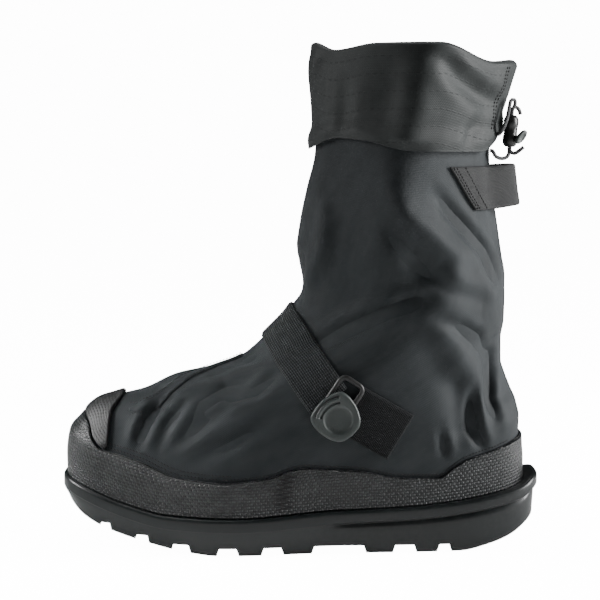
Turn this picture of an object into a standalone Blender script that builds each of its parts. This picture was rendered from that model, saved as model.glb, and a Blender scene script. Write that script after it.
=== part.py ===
"""Winter overshoe for a left foot: a nylon boot on a lugged rubber sole, with a rubber rand round its foot,
a toe cap, a turned-down ripstop cuff, a buckled instep strap, a closure strap and a drawcord with its lock.

Metres, +Z up. The toe points along -X, the outer (lateral) side of the foot along -Y, and the floor is Z = 0.
"""

import math
from collections import namedtuple

import bpy
from mathutils import Vector
from mathutils.bvhtree import BVHTree

MM = 0.001

# Driving sizes
SOLE_LENGTH = 325 * MM
BALL_WIDTH = 120 * MM
SOLE_THICKNESS = 25 * MM
INSTEP_RISE = 140 * MM
SHAFT_RISE = 165 * MM

# Sole
TOE_SPRING = 31 * MM
HEEL_ROCKER = 19 * MM
TOE_LIFT = 23 * MM
HEEL_LIFT = 24 * MM
LIP_HEIGHT = 9 * MM
LIP_STEP = 2.4 * MM
LIP_ROUND = 1.2 * MM
SIDE_TAPER = 3.2 * MM
BOTTOM_CHAMFER = 3.0 * MM
LUG_DEPTH = 5.5 * MM
LUG_SLOPE = 1.8 * MM
TREAD_CHANNEL = 7 * MM
INSOLE_THICKNESS = 3 * MM
INSOLE_MARGIN = 2.5 * MM

# Cloth, rubber and webbing
NYLON = 1.3 * MM
RAND_THICKNESS = 1.9 * MM
EDGE_SHARE = 0.55
TOE_CAP_THICKNESS = 2.6 * MM
CUFF_CLOTH = 1.2 * MM
CUFF_RETURN = 22 * MM
HEM_SWELL = 1.5 * MM
STRAP_WIDTH = 30 * MM
STRAP_THICKNESS = 1.7 * MM
TAB_WIDTH = 34 * MM
TAB_LENGTH = 40 * MM
TAB_THICKNESS = 2.2 * MM
CLOSURE_WIDTH = 29 * MM
CLOSURE_THICKNESS = 1.4 * MM
CLOSURE_STAND_OFF = 15 * MM

# Buckle and drawcord
BUCKLE_FRAME_WIDTH = 38 * MM
BUCKLE_FRAME_LENGTH = 20 * MM
BUCKLE_BAR = 3.4 * MM
LEVER_WIDTH = 30.5 * MM
LEVER_LENGTH = 30.5 * MM
LEVER_THICKNESS = 4.2 * MM
CORD_DIAMETER = 2.6 * MM
LOCK_DIAMETER = 13 * MM
LOCK_LENGTH = 21 * MM

# Clearances
GAP = 0.3 * MM
SOFT_GAP = 0.6 * MM
RAND_GAP = 0.5 * MM

# Grid of the lofted pieces
UPPER_COLUMNS = 38
RAND_SPANS = 6
SOLE_COLUMNS = 68

# Shares of a ring's own length, front to back, at which its heights and half widths are given
STATIONS = (0.10, 0.30, 0.60, 0.88)

# The boot's form, a row for each ring from the sole joint to the collar. front and back are shares of
# SOLE_LENGTH from its middle. Heights are 0 at the sole joint, 1 at the ankle crease and 2 at the collar, at the
# ring's front (z0), at the four stations (z1 to z4) and at its back (z5). w1 to w4 are half widths as shares of
# BALL_WIDTH. follow is how far the ring keeps the curve of the sole's top. A power under 1 squares the ring's
# front or back and one over 1 points it.
Ring = namedtuple("Ring", "front back z0 z1 z2 z3 z4 z5 w1 w2 w3 w4 follow front_power back_power")
RINGS = (
    Ring(-0.485, 0.463, 0.000, 0.000, 0.000, 0.000, 0.000, 0.000, 0.312, 0.442, 0.350, 0.300, 1.00, 0.66, 0.60),
    Ring(-0.486, 0.463, 0.105, 0.095, 0.085, 0.090, 0.090, 0.110, 0.317, 0.442, 0.358, 0.302, 1.00, 0.66, 0.60),
    Ring(-0.480, 0.461, 0.220, 0.180, 0.140, 0.150, 0.135, 0.180, 0.312, 0.438, 0.367, 0.304, 1.00, 0.68, 0.60),
    Ring(-0.462, 0.460, 0.290, 0.243, 0.193, 0.206, 0.175, 0.243, 0.304, 0.433, 0.371, 0.304, 1.00, 0.72, 0.62),
    Ring(-0.428, 0.461, 0.395, 0.350, 0.307, 0.307, 0.280, 0.320, 0.283, 0.421, 0.383, 0.308, 1.00, 0.76, 0.64),
    Ring(-0.382, 0.455, 0.468, 0.460, 0.420, 0.410, 0.386, 0.396, 0.267, 0.388, 0.392, 0.304, 1.00, 0.80, 0.70),
    Ring(-0.323, 0.443, 0.556, 0.546, 0.514, 0.514, 0.507, 0.526, 0.258, 0.362, 0.396, 0.292, 0.50, 0.86, 0.76),
    Ring(-0.265, 0.431, 0.632, 0.627, 0.600, 0.613, 0.610, 0.621, 0.208, 0.342, 0.400, 0.279, 0.30, 0.90, 0.80),
    Ring(-0.197, 0.423, 0.672, 0.676, 0.686, 0.700, 0.705, 0.705, 0.188, 0.337, 0.408, 0.275, 0.15, 0.90, 0.84),
    Ring(-0.129, 0.423, 0.724, 0.742, 0.764, 0.786, 0.800, 0.814, 0.225, 0.346, 0.417, 0.267, 0.00, 0.88, 0.86),
    Ring(-0.062, 0.428, 0.857, 0.862, 0.870, 0.885, 0.900, 0.907, 0.208, 0.346, 0.425, 0.258, 0.00, 0.86, 0.88),
    Ring(-0.018, 0.429, 0.971, 0.973, 0.980, 0.990, 1.000, 1.010, 0.225, 0.358, 0.433, 0.258, 0.00, 0.86, 0.90),
    Ring(0.002, 0.428, 1.073, 1.075, 1.080, 1.085, 1.090, 1.097, 0.233, 0.367, 0.442, 0.258, 0.00, 0.88, 0.90),
    Ring(-0.008, 0.421, 1.200, 1.200, 1.200, 1.200, 1.200, 1.200, 0.233, 0.375, 0.450, 0.258, 0.00, 0.90, 0.92),
    Ring(0.000, 0.411, 1.333, 1.333, 1.333, 1.333, 1.333, 1.333, 0.225, 0.375, 0.450, 0.250, 0.00, 0.92, 0.94),
    Ring(0.014, 0.400, 1.467, 1.467, 1.467, 1.467, 1.467, 1.467, 0.217, 0.375, 0.450, 0.250, 0.00, 0.95, 0.98),
    Ring(0.031, 0.394, 1.612, 1.612, 1.612, 1.612, 1.612, 1.606, 0.200, 0.367, 0.450, 0.242, 0.00, 1.05, 1.05),
    Ring(0.036, 0.412, 1.806, 1.806, 1.806, 1.806, 1.800, 1.794, 0.183, 0.358, 0.458, 0.225, 0.00, 1.15, 1.12),
    Ring(0.035, 0.438, 2.035, 2.000, 2.022, 2.022, 1.955, 1.965, 0.167, 0.358, 0.475, 0.208, 0.00, 1.25, 1.20),
)
RAND_TOP = 3
COLLAR = len(RINGS) - 1

# The sole's outline, front to back: half widths at the stations as shares of BALL_WIDTH, and its ends' powers
SOLE_RING = Ring(-0.5, 0.5, 0, 0, 0, 0, 0, 0, 0.350, 0.492, 0.396, 0.350, 1.0, 0.66, 0.60)

# How far the foot's middle line swings to its inner side: place along the sole, and share of BALL_WIDTH
SWING = ((-0.5, 0.030), (-0.38, 0.030), (-0.15, 0.0), (0.12, -0.020), (0.38, 0.0), (0.5, 0.0))

# Lift of the sole's top: place along the sole, share of TOE_LIFT, share of HEEL_LIFT
TOP_LINE = (
    (-0.50, 1.00, 0.00),
    (-0.45, 0.72, 0.00),
    (-0.36, 0.30, 0.00),
    (-0.27, 0.05, 0.00),
    (-0.12, 0.00, 0.00),
    (0.06, 0.00, 0.15),
    (0.25, 0.00, 0.28),
    (0.39, 0.00, 0.50),
    (0.46, 0.00, 0.70),
    (0.50, 0.00, 1.00),
)

# Lift of the tread: place along the sole, share of TOE_SPRING, share of HEEL_ROCKER
TREAD_LINE = (
    (-0.50, 1.00, 0.00),
    (-0.46, 0.66, 0.00),
    (-0.40, 0.40, 0.00),
    (-0.32, 0.20, 0.00),
    (-0.24, 0.06, 0.00),
    (-0.17, 0.00, 0.00),
    (0.34, 0.00, 0.00),
    (0.40, 0.00, 0.18),
    (0.45, 0.00, 0.46),
    (0.50, 0.00, 1.00),
)

# The rand's upper edge: place along the sole, and height above the sole joint as a share of INSTEP_RISE
RAND_EDGE = (
    (-0.485, 0.296),
    (-0.466, 0.275),
    (-0.440, 0.226),
    (-0.418, 0.208),
    (-0.380, 0.215),
    (-0.350, 0.214),
    (-0.303, 0.199),
    (-0.254, 0.180),
    (-0.163, 0.171),
    (-0.107, 0.182),
    (-0.067, 0.194),
    (-0.040, 0.214),
    (-0.010, 0.225),
    (0.035, 0.211),
    (0.106, 0.194),
    (0.143, 0.178),
    (0.177, 0.156),
    (0.239, 0.137),
    (0.292, 0.127),
    (0.304, 0.150),
    (0.341, 0.195),
    (0.373, 0.207),
    (0.415, 0.218),
    (0.463, 0.236),
)

# The turned-down cuff's hem: place along the sole, and height as the rings give it
CUFF_HEM = (
    (0.020, 1.615),
    (0.080, 1.671),
    (0.140, 1.660),
    (0.219, 1.625),
    (0.300, 1.620),
    (0.360, 1.618),
    (0.385, 1.660),
    (0.405, 1.800),
)

# Gaps between the lugs, heel breast included: place along the sole, and width as a share of LUG_PITCH
LUG_PITCH = 30 * MM
LUG_GAPS = (
    (-0.403, 0.22),
    (-0.325, 0.26),
    (-0.243, 0.34),
    (-0.147, 0.38),
    (-0.056, 0.38),
    (0.080, 1.10),
    (0.215, 0.42),
    (0.297, 0.22),
)

# The two long channels of the tread: place of each end along the sole, and offset as a share of BALL_WIDTH
TREAD_CHANNELS = (
    (-0.36, 0.04, 0.19),
    (-0.36, 0.04, -0.19),
    (0.13, 0.36, 0.15),
    (0.13, 0.36, -0.15),
)

# The deepest folds of the cloth in side view, a row each. x and z as the rings give them, reach as a share of
# INSTEP_RISE, depth as a share of BALL_WIDTH (a trough is negative), and the side (-1 outer, 1 inner).
Fold = namedtuple("Fold", "x0 z0 x1 z1 reach depth side")
FOLDS = (
    Fold(0.035, 0.90, 0.205, 1.08, 0.110, -0.034, -1),
    Fold(0.160, 1.62, 0.185, 1.25, 0.120, 0.036, -1),
    Fold(0.300, 1.36, 0.235, 1.08, 0.110, -0.030, -1),
    Fold(0.400, 0.80, 0.405, 0.55, 0.070, -0.036, -1),
    Fold(0.330, 0.62, 0.345, 0.40, 0.070, -0.034, -1),
    Fold(-0.270, 0.52, -0.185, 0.66, 0.070, -0.026, -1),
    Fold(-0.150, 0.64, -0.070, 0.72, 0.075, -0.028, -1),
    Fold(0.040, 0.92, 0.210, 1.12, 0.110, -0.034, 1),
    Fold(0.190, 1.70, 0.215, 1.25, 0.120, 0.030, 1),
    Fold(0.345, 0.70, 0.330, 0.42, 0.075, -0.034, 1),
    Fold(-0.240, 0.50, -0.130, 0.66, 0.075, -0.026, 1),
)


def clear_scene():
    """Remove every object, so that the file can be run again."""
    for item in list(bpy.data.objects):
        bpy.data.objects.remove(item)


def collection(name):
    group = bpy.data.collections.new(name)
    bpy.context.scene.collection.children.link(group)
    return group


def material(name, colour, roughness, metallic=0.0):
    made = bpy.data.materials.new(name)
    made.use_nodes = True
    shader = made.node_tree.nodes["Principled BSDF"]
    shader.inputs["Base Color"].default_value = (*colour, 1.0)
    shader.inputs["Roughness"].default_value = roughness
    shader.inputs["Metallic"].default_value = metallic
    return made


def add(name, mesh, finish, group):
    mesh.materials.clear()
    mesh.materials.append(finish)
    item = bpy.data.objects.new(name, mesh)
    group.objects.link(item)
    return item


def lerp(a, b, share):
    return a + (b - a) * share


def curve(points, x):
    """A smooth value at x through (x, value) points, level beyond the ends and with no overshoot."""
    if x <= points[0][0]:
        return points[0][1]
    if x >= points[-1][0]:
        return points[-1][1]
    k = max(i for i in range(len(points) - 1) if points[i][0] <= x)

    def slope(i):
        if i < 1 or i > len(points) - 2:
            j = min(max(i, 1), len(points) - 1)
            return (points[j][1] - points[j - 1][1]) / (points[j][0] - points[j - 1][0])
        before = (points[i][1] - points[i - 1][1]) / (points[i][0] - points[i - 1][0])
        after = (points[i + 1][1] - points[i][1]) / (points[i + 1][0] - points[i][0])
        return 2 * before * after / (before + after) if before * after > 0 else 0.0

    (xa, ya), (xb, yb) = points[k], points[k + 1]
    span = xb - xa
    t = (x - xa) / span
    return (
        (2 * t**3 - 3 * t**2 + 1) * ya
        + (t**3 - 2 * t**2 + t) * span * slope(k)
        + (3 * t**2 - 2 * t**3) * yb
        + (t**3 - t**2) * span * slope(k + 1)
    )


def sole_top(x):
    """Height of the sole's upper face, where the rand and the upper stand, at x."""
    place = x / SOLE_LENGTH
    toe = curve([(p, toe) for p, toe, heel in TOP_LINE], place)
    heel = curve([(p, heel) for p, toe, heel in TOP_LINE], place)
    return SOLE_THICKNESS + toe * TOE_LIFT + heel * HEEL_LIFT


def tread_bottom(x):
    """Height of the tread at x: 0 where the shoe stands, and rising at the toe and the back of the heel."""
    place = x / SOLE_LENGTH
    toe = curve([(p, toe) for p, toe, heel in TREAD_LINE], place)
    heel = curve([(p, heel) for p, toe, heel in TREAD_LINE], place)
    return toe * TOE_SPRING + heel * HEEL_ROCKER


def ring_at(level):
    """The ring at a level between 0, the sole joint, and COLLAR."""
    columns = zip(*RINGS)
    return Ring(*(curve(list(enumerate(column)), level) for column in columns))


def ring_height(value):
    """A ring table's height, in metres above the sole joint."""
    if value <= 1:
        return value * INSTEP_RISE
    return INSTEP_RISE + (value - 1) * SHAFT_RISE


def ring_plan(ring, turn, inset=0.0):
    """x, y and the share of the ring's length at a turn: 0 is the front, 0.25 the outer side, 0.5 the back."""
    angle = 2 * math.pi * turn
    share = (1 - math.cos(angle)) / 2
    front = ring.front * SOLE_LENGTH + inset
    back = ring.back * SOLE_LENGTH - inset
    power = lerp(ring.front_power, ring.back_power, share * share * (3 - 2 * share))
    widths = []
    for station, width in zip(STATIONS, (ring.w1, ring.w2, ring.w3, ring.w4)):
        round_off = (2 * math.sqrt(station * (1 - station))) ** power
        widths.append((station, (width * BALL_WIDTH - inset) / round_off))
    half = curve(widths, share) * abs(math.sin(angle)) ** power
    x = lerp(front, back, share)
    y = curve(SWING, x / SOLE_LENGTH) * BALL_WIDTH - math.copysign(half, math.sin(angle))
    return x, y, share


def plain_form(level, turn):
    """A point of the boot's outer surface before its folds."""
    ring = ring_at(level)
    x, y, share = ring_plan(ring, turn)
    places = (0.0, *STATIONS, 1.0)
    heights = (ring.z0, ring.z1, ring.z2, ring.z3, ring.z4, ring.z5)
    rise = curve([(p, ring_height(h)) for p, h in zip(places, heights)], share)
    return Vector((x, y, rise + lerp(SOLE_THICKNESS, sole_top(x), ring.follow)))


def plain_normal(level, turn):
    """The direction straight out of the boot at a point of its surface."""
    step = 0.02
    low, high = max(level - step, 0), min(level + step, COLLAR)
    up = plain_form(high, turn) - plain_form(low, turn)
    round_it = plain_form(level, turn + 0.004) - plain_form(level, turn - 0.004)
    return round_it.cross(up).normalized()


def fold_depth(point):
    """How far the folds push the cloth out of its plain form at a point."""
    total = 0.0
    side = math.copysign(1, point.y)
    for fold in FOLDS:
        if fold.side != side:
            continue
        ax, az = fold.x0 * SOLE_LENGTH, SOLE_THICKNESS + ring_height(fold.z0)
        bx, bz = fold.x1 * SOLE_LENGTH, SOLE_THICKNESS + ring_height(fold.z1)
        dx, dz = bx - ax, bz - az
        along = ((point.x - ax) * dx + (point.z - az) * dz) / (dx * dx + dz * dz)
        near = min(max(along, 0), 1)
        away = math.hypot(point.x - ax - near * dx, point.z - az - near * dz)
        total += fold.depth * BALL_WIDTH * math.exp(-((away / (fold.reach * INSTEP_RISE)) ** 2))
    return total * min(abs(point.y) / (0.15 * BALL_WIDTH), 1)


def skin(level, turn, offset=0.0):
    """A point at an offset outside the upper's outer surface, folds included above the rand."""
    point = plain_form(level, turn)
    cloth = min(max((level - RAND_TOP) / 1.5, 0), 1)
    return point + plain_normal(level, turn) * (offset + cloth * fold_depth(point))


def grid_mesh(name, rows, around):
    """An open surface through rows of points. With around, each row closes on itself."""
    width = len(rows[0])
    points = [tuple(point) for row in rows for point in row]
    faces = []
    for r in range(len(rows) - 1):
        for c in range(width if around else width - 1):
            d = (c + 1) % width
            faces.append((r * width + c, r * width + d, (r + 1) * width + d, (r + 1) * width + c))
    mesh = bpy.data.meshes.new(name)
    mesh.from_pydata(points, [], faces)
    mesh.shade_smooth()
    return mesh


def thicken(item, thickness, direction):
    """Give an open surface a wall, on its outer side (1) or its inner side (-1)."""
    wall = item.modifiers.new("wall", "SOLIDIFY")
    wall.thickness = thickness
    wall.offset = direction
    wall.use_even_offset = True
    wall.use_quality_normals = True
    return wall


def turns(count):
    return [i / count for i in range(count)]


def level_at(turn, height):
    """The level at which the boot's surface stands at a height, at a turn."""
    low, high = 0.0, float(COLLAR)
    for _ in range(22):
        middle = (low + high) / 2
        if plain_form(middle, turn).z < height:
            low = middle
        else:
            high = middle
    return low


def wall_mesh(name, outer, inner):
    """A closed wall between two surfaces of equal rows, each closed round the boot, joined at both rims.

    Both are split into triangles along the same diagonals, so that neighbouring walls stay parallel."""
    count, width = len(outer), len(outer[0])
    points = [tuple(point) for row in outer + inner for point in row]
    faces = []
    for r in range(count - 1):
        for c in range(width):
            d = (c + 1) % width
            quad = (r * width + c, r * width + d, (r + 1) * width + d, (r + 1) * width + c)
            for half in ((quad[0], quad[1], quad[2]), (quad[0], quad[2], quad[3])):
                faces.append(half)
                faces.append(tuple(count * width + i for i in reversed(half)))
    for r, flip in ((0, True), (count - 1, False)):
        for c in range(width):
            d = (c + 1) % width
            quad = (r * width + c, r * width + d, (count + r) * width + d, (count + r) * width + c)
            faces.append(tuple(reversed(quad)) if flip else quad)
    mesh = bpy.data.meshes.new(name)
    mesh.from_pydata(points, [], faces)
    mesh.shade_smooth()
    return mesh


def stand_on_sole(row):
    """Lower or raise a row of points until it clears the sole's upper face by the usual gap."""
    for point in row:
        point.z = sole_top(point.x) + GAP
    return row


def rand_edge(turn):
    """The height of the rand's upper edge at a turn."""
    base = plain_form(0, turn)
    return base.z + curve(RAND_EDGE, base.x / SOLE_LENGTH) * INSTEP_RISE


FOOT_LEVEL = 5.4
FOOT_SPANS = 3
UPPER_LEVELS = (6.1, 6.8, 7.5, 8.2, 8.9, 9.6, 10.3, 11, 11.7, 12.4, 13.2, 14, 15, 15.8, 16.6, 17.3, COLLAR)


def rand_levels(turn):
    """The levels of the rand's rows at a turn, from the sole joint to the rand's edge."""
    low, high = plain_form(0, turn).z, rand_edge(turn)
    return [level_at(turn, lerp(low, high, k / RAND_SPANS)) for k in range(RAND_SPANS + 1)]


def surface_rows(levels_at_turn, offset):
    """Rows of points round the boot at an offset, where each turn has its own levels."""
    columns = [[skin(level, turn, offset) for level in levels_at_turn[turn]] for turn in turns(UPPER_COLUMNS)]
    return [list(row) for row in zip(*columns)]


def make_upper(finish, group):
    """One hollow wall from the sole joint to the collar, open at the top and underneath."""
    levels = {}
    for turn in turns(UPPER_COLUMNS):
        low = rand_levels(turn)
        middle = [lerp(low[-1], FOOT_LEVEL, k / FOOT_SPANS) for k in range(1, FOOT_SPANS + 1)]
        levels[turn] = [*low, *middle, *UPPER_LEVELS]
    outer, inner = surface_rows(levels, 0), surface_rows(levels, -NYLON)
    stand_on_sole(outer[0])
    stand_on_sole(inner[0])
    add("upper", wall_mesh("upper", outer, inner), finish, group)
    width = UPPER_COLUMNS
    faces = []
    for r in range(len(outer) - 1):
        for c in range(width):
            d = (c + 1) % width
            faces.append((r * width + c, r * width + d, (r + 1) * width + d, (r + 1) * width + c))
    return BVHTree.FromPolygons([point for row in outer for point in row], faces)


def make_rand(finish, group):
    """The rubber band moulded round the foot, from the sole up to its own wavy edge."""
    levels = {turn: rand_levels(turn) for turn in turns(UPPER_COLUMNS)}
    inner, outer = surface_rows(levels, RAND_GAP), surface_rows(levels, RAND_GAP + RAND_THICKNESS)
    outer[-1] = surface_rows(levels, RAND_GAP + RAND_THICKNESS * EDGE_SHARE)[-1]
    stand_on_sole(outer[0])
    stand_on_sole(inner[0])
    add("rand", wall_mesh("rand", outer, inner), finish, group)


def rand_edge_line(turn):
    """The rand's upper edge as its own columns draw it, straight from one column to the next."""
    place = turn * UPPER_COLUMNS
    low = math.floor(place)
    return lerp(rand_edge(low / UPPER_COLUMNS), rand_edge((low + 1) / UPPER_COLUMNS), place - low)


TOE_CAP_HALF_TURN = 0.087

# The toe cap's rear edge in side view: height as a share of INSTEP_RISE, and place along the sole
TOE_CAP_REAR = ((0.25, -0.400), (0.40, -0.394), (0.47, -0.390), (0.51, -0.378), (0.57, -0.360))


def toe_cap_level(turn, low):
    """The level of the toe cap's rear edge at a turn."""
    high = low + 4.0
    for _ in range(20):
        middle = (low + high) / 2
        point = plain_form(middle, turn)
        share = (point.z - SOLE_THICKNESS) / INSTEP_RISE
        if point.x / SOLE_LENGTH < curve(TOE_CAP_REAR, share):
            low = middle
        else:
            high = middle
    return low


def make_toe_cap(finish, group):
    """The bumper on top of the toe, between the rand's edge and the cloth of the vamp."""
    columns, spans = 16, 3
    rows = []
    for r in range(spans + 1):
        row = []
        for c in range(columns + 1):
            turn = (2 * c / columns - 1) * TOE_CAP_HALF_TURN
            bottom = level_at(turn, rand_edge_line(turn) + RAND_THICKNESS * 1.4)
            top = max(toe_cap_level(turn, bottom), bottom + 0.3)
            row.append(skin(lerp(bottom, top, r / spans), turn, RAND_GAP))
        rows.append(row)
    cap = add("toe_cap", grid_mesh("toe_cap", rows, False), finish, group)
    thicken(cap, TOE_CAP_THICKNESS, 1)


def sole_ring(levels_height, inset, turn):
    x, y, share = ring_plan(SOLE_RING, turn, inset)
    return Vector((x, y, levels_height(x)))


def lip_share(x):
    """1 where the lip stands over its groove, from the waist back, and 0 in front of it."""
    return min(max((x / SOLE_LENGTH - 0.05) / 0.06, 0), 1)


def closed_rings(name, rings):
    """A solid from rings of equal count, capped by strips from the outer side to the inner side."""
    width = len(rings[0])
    points = [tuple(point) for ring in rings for point in ring]
    faces = []
    for r in range(len(rings) - 1):
        for c in range(width):
            d = (c + 1) % width
            faces.append((r * width + c, r * width + d, (r + 1) * width + d, (r + 1) * width + c))
    top = (len(rings) - 1) * width
    for c in range(width // 2):
        near, far = c, (width - c) % width
        near_next, far_next = c + 1, width - c - 1
        low = [near, far, far_next, near_next]
        low = [index for i, index in enumerate(low) if index not in low[:i]]
        faces.append(tuple(low))
        faces.append(tuple(top + index for index in reversed(low)))
    mesh = bpy.data.meshes.new(name)
    mesh.from_pydata(points, [], faces)
    mesh.shade_smooth()
    return mesh


def join_cutters(name, parts, group):
    """One hidden cutter from several closed boxes that don't touch."""
    points, faces = [], []
    for part_points, part_faces in parts:
        faces += [tuple(i + len(points) for i in face) for face in part_faces]
        points += part_points
    mesh = bpy.data.meshes.new(name)
    mesh.from_pydata([tuple(p) for p in points], [], faces)
    item = bpy.data.objects.new(name, mesh)
    item.hide_render = True
    item.display_type = "WIRE"
    group.objects.link(item)
    return item


BOX_FACES = ((0, 3, 2, 1), (4, 5, 6, 7), (0, 1, 5, 4), (1, 2, 6, 5), (2, 3, 7, 6), (3, 0, 4, 7))


def cross_gap(place, width):
    """A trapezoid channel right across the sole, which keeps its depth under the sole's curved tread."""
    x = place * SOLE_LENGTH
    half = width / 2
    reach = BALL_WIDTH
    below = -LUG_DEPTH
    points = []
    for z, grow in ((below, LUG_SLOPE * 2), (None, 0)):
        for dx, y in ((-1, -reach), (1, -reach), (1, reach), (-1, reach)):
            px = x + dx * (half + grow)
            height = z if z is not None else tread_bottom(x) + LUG_DEPTH
            points.append((px, y, height))
    return points, BOX_FACES


def long_channel(start, end, offset):
    """A straight channel along the tread, as deep as the gaps between the lugs, less a bar at its ends."""
    y = offset * BALL_WIDTH
    half = TREAD_CHANNEL / 2
    x0, x1 = start * SOLE_LENGTH, end * SOLE_LENGTH
    points = []
    for z, grow in ((-LUG_DEPTH, LUG_SLOPE), (LUG_DEPTH - 1 * MM, 0)):
        raised0 = z if z < 0 else tread_bottom(x0) + z
        raised1 = z if z < 0 else tread_bottom(x1) + z
        points += [(x0, y - half - grow, raised0), (x1, y - half - grow, raised1)]
        points += [(x1, y + half + grow, raised1), (x0, y + half + grow, raised0)]
    return points, BOX_FACES


def make_outsole(finish, group, cutters):
    """The rubber sole: rounded toe, waist and heel, side lip and groove, toe spring and lugs."""

    def low_side(x):
        return lerp(tread_bottom(x) + BOTTOM_CHAMFER, sole_top(x) - LIP_HEIGHT, 0.55)

    def groove(x):
        return sole_top(x) - LIP_HEIGHT

    levels = (
        (tread_bottom, lambda x: SIDE_TAPER + BOTTOM_CHAMFER * 0.8),
        (lambda x: tread_bottom(x) + BOTTOM_CHAMFER, lambda x: SIDE_TAPER),
        (low_side, lambda x: lerp(SIDE_TAPER * 0.45, LIP_STEP, lip_share(x))),
        (lambda x: groove(x) - 0.6 * MM, lambda x: lerp(0.6 * MM, LIP_STEP, lip_share(x))),
        (groove, lambda x: lerp(0.4 * MM, LIP_STEP + 0.8 * MM, lip_share(x))),
        (lambda x: groove(x) + 0.8 * MM, lambda x: 0.0),
        (lambda x: sole_top(x) - LIP_ROUND, lambda x: 0.0),
        (sole_top, lambda x: LIP_ROUND),
    )
    rings = []
    for height, inset in levels:
        ring = []
        for turn in turns(SOLE_COLUMNS):
            x = ring_plan(SOLE_RING, turn)[0]
            ring.append(sole_ring(height, inset(x), turn))
        rings.append(ring)
    sole = add("outsole", closed_rings("outsole", rings), finish, group)
    gaps = join_cutters("lug_gaps", [cross_gap(p, w * LUG_PITCH) for p, w in LUG_GAPS], cutters)
    channels = join_cutters("tread_channels", [long_channel(*row) for row in TREAD_CHANNELS], cutters)
    for cutter in (gaps, channels):
        cut = sole.modifiers.new(cutter.name, "BOOLEAN")
        cut.operation = "DIFFERENCE"
        cut.solver = "EXACT"
        cut.object = cutter


def make_insole(finish, group):
    """The footbed, which lies on the sole inside the upper."""
    ring = RINGS[0]
    rings = []
    for rise, inset in (
        (GAP, NYLON + INSOLE_MARGIN),
        (GAP + INSOLE_THICKNESS * 0.6, NYLON + INSOLE_MARGIN * 0.6),
        (GAP + INSOLE_THICKNESS, NYLON + INSOLE_MARGIN),
    ):
        points = []
        for turn in turns(32):
            x, y, share = ring_plan(ring, turn, inset)
            points.append(Vector((x, y, sole_top(x) + rise)))
        rings.append(points)
    add("insole", closed_rings("insole", rings), finish, group)


def make_cuff(finish, group):
    """The ripstop collar turned down over the shaft, from a short return inside it to a hem outside."""
    inside = NYLON + SOFT_GAP
    return_level = COLLAR - CUFF_RETURN / (SHAFT_RISE * (RINGS[COLLAR].z2 - RINGS[COLLAR - 1].z2))
    rows = []
    # level, offset from the shaft's outer surface, and lift over the collar's edge
    for level, offset, lift in (
        (return_level, -inside, 0.0),
        (lerp(return_level, COLLAR, 0.6), -inside, 0.0),
        (COLLAR, -inside, 0.1 * MM),
        (COLLAR, -inside * 0.4, SOFT_GAP + 1.2 * MM),
        (COLLAR, SOFT_GAP, SOFT_GAP + 1.0 * MM),
        (COLLAR - 0.06, SOFT_GAP * 2.5, 0.0),
    ):
        row = [skin(level, turn, offset) for turn in turns(UPPER_COLUMNS)]
        for point in row:
            point.z += lift
        rows.append(row)
    for drop in (0.78, 0.54, 0.32, 0.16, 0.06, 0.0):
        row = []
        for turn in turns(UPPER_COLUMNS):
            x = plain_form(16, turn).x
            height = SOLE_THICKNESS + ring_height(curve(CUFF_HEM, x / SOLE_LENGTH))
            hem = level_at(turn, height)
            swell = HEM_SWELL * math.exp(-(((drop - 0.14) / 0.16) ** 2)) if drop else -HEM_SWELL * 0.6
            row.append(skin(lerp(hem, COLLAR, drop), turn, SOFT_GAP * 5 + swell))
        rows.append(row)
    cuff = add("cuff", grid_mesh("cuff", rows, True), finish, group)
    thicken(cuff, CUFF_CLOTH, -1)
    return BVHTree.FromObject(cuff, bpy.context.evaluated_depsgraph_get())


# The instep strap lies in a leaning slice of the boot: its place on the ridge and its lean
STRAP_PLACE = (-0.046, 0.905)
STRAP_FOOT = (0.085, 0.470)


def on_form(form, start, direction):
    """The point where a ray from inside meets the boot's surface, and the direction straight out of it."""
    hit, normal, index, distance = form.ray_cast(start, direction)
    if normal.dot(direction) < 0:
        normal = -normal
    return hit, normal


def side_point(place):
    """A side-view place of the ring table's kind, in metres, on the boot's middle line."""
    return Vector((place[0] * SOLE_LENGTH, 0, SOLE_THICKNESS + ring_height(place[1])))


def strap_frame():
    """The strap's slice: a middle point inside the boot, the way up to the ridge, and the way across it."""
    ridge, foot = side_point(STRAP_PLACE), side_point(STRAP_FOOT)
    up = (ridge - foot).normalized()
    across = Vector((up.z, 0, -up.x))
    return foot, up, across


def strap_row(form, angle, lift, offsets):
    """Points across the strap at an angle round its slice, from straight up (0) to the outer side (positive)."""
    middle, up, across = strap_frame()
    direction = up * math.cos(angle) - Vector((0, 1, 0)) * math.sin(angle)
    row = []
    for offset in offsets:
        hit, normal = on_form(form, middle + across * offset, direction)
        row.append(hit + normal * lift)
    return row


STRAP_OUTER_ANGLE = math.radians(73)
STRAP_INNER_ANGLE = math.radians(-88)


def make_instep_strap(form, finish, group):
    """The webbing that crosses the instep, from the inner side of the foot to the buckle."""
    spans = 24
    half = STRAP_WIDTH / 2
    offsets = [half * share for share in (-1, 0, 1)]
    rows = []
    for k in range(spans + 1):
        angle = lerp(STRAP_OUTER_ANGLE, STRAP_INNER_ANGLE, k / spans)
        rows.append(strap_row(form, angle, SOFT_GAP * 1.8, offsets))
    strap = add("instep_strap", grid_mesh("instep_strap", rows, False), finish, group)
    thicken(strap, STRAP_THICKNESS, 1)


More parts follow.
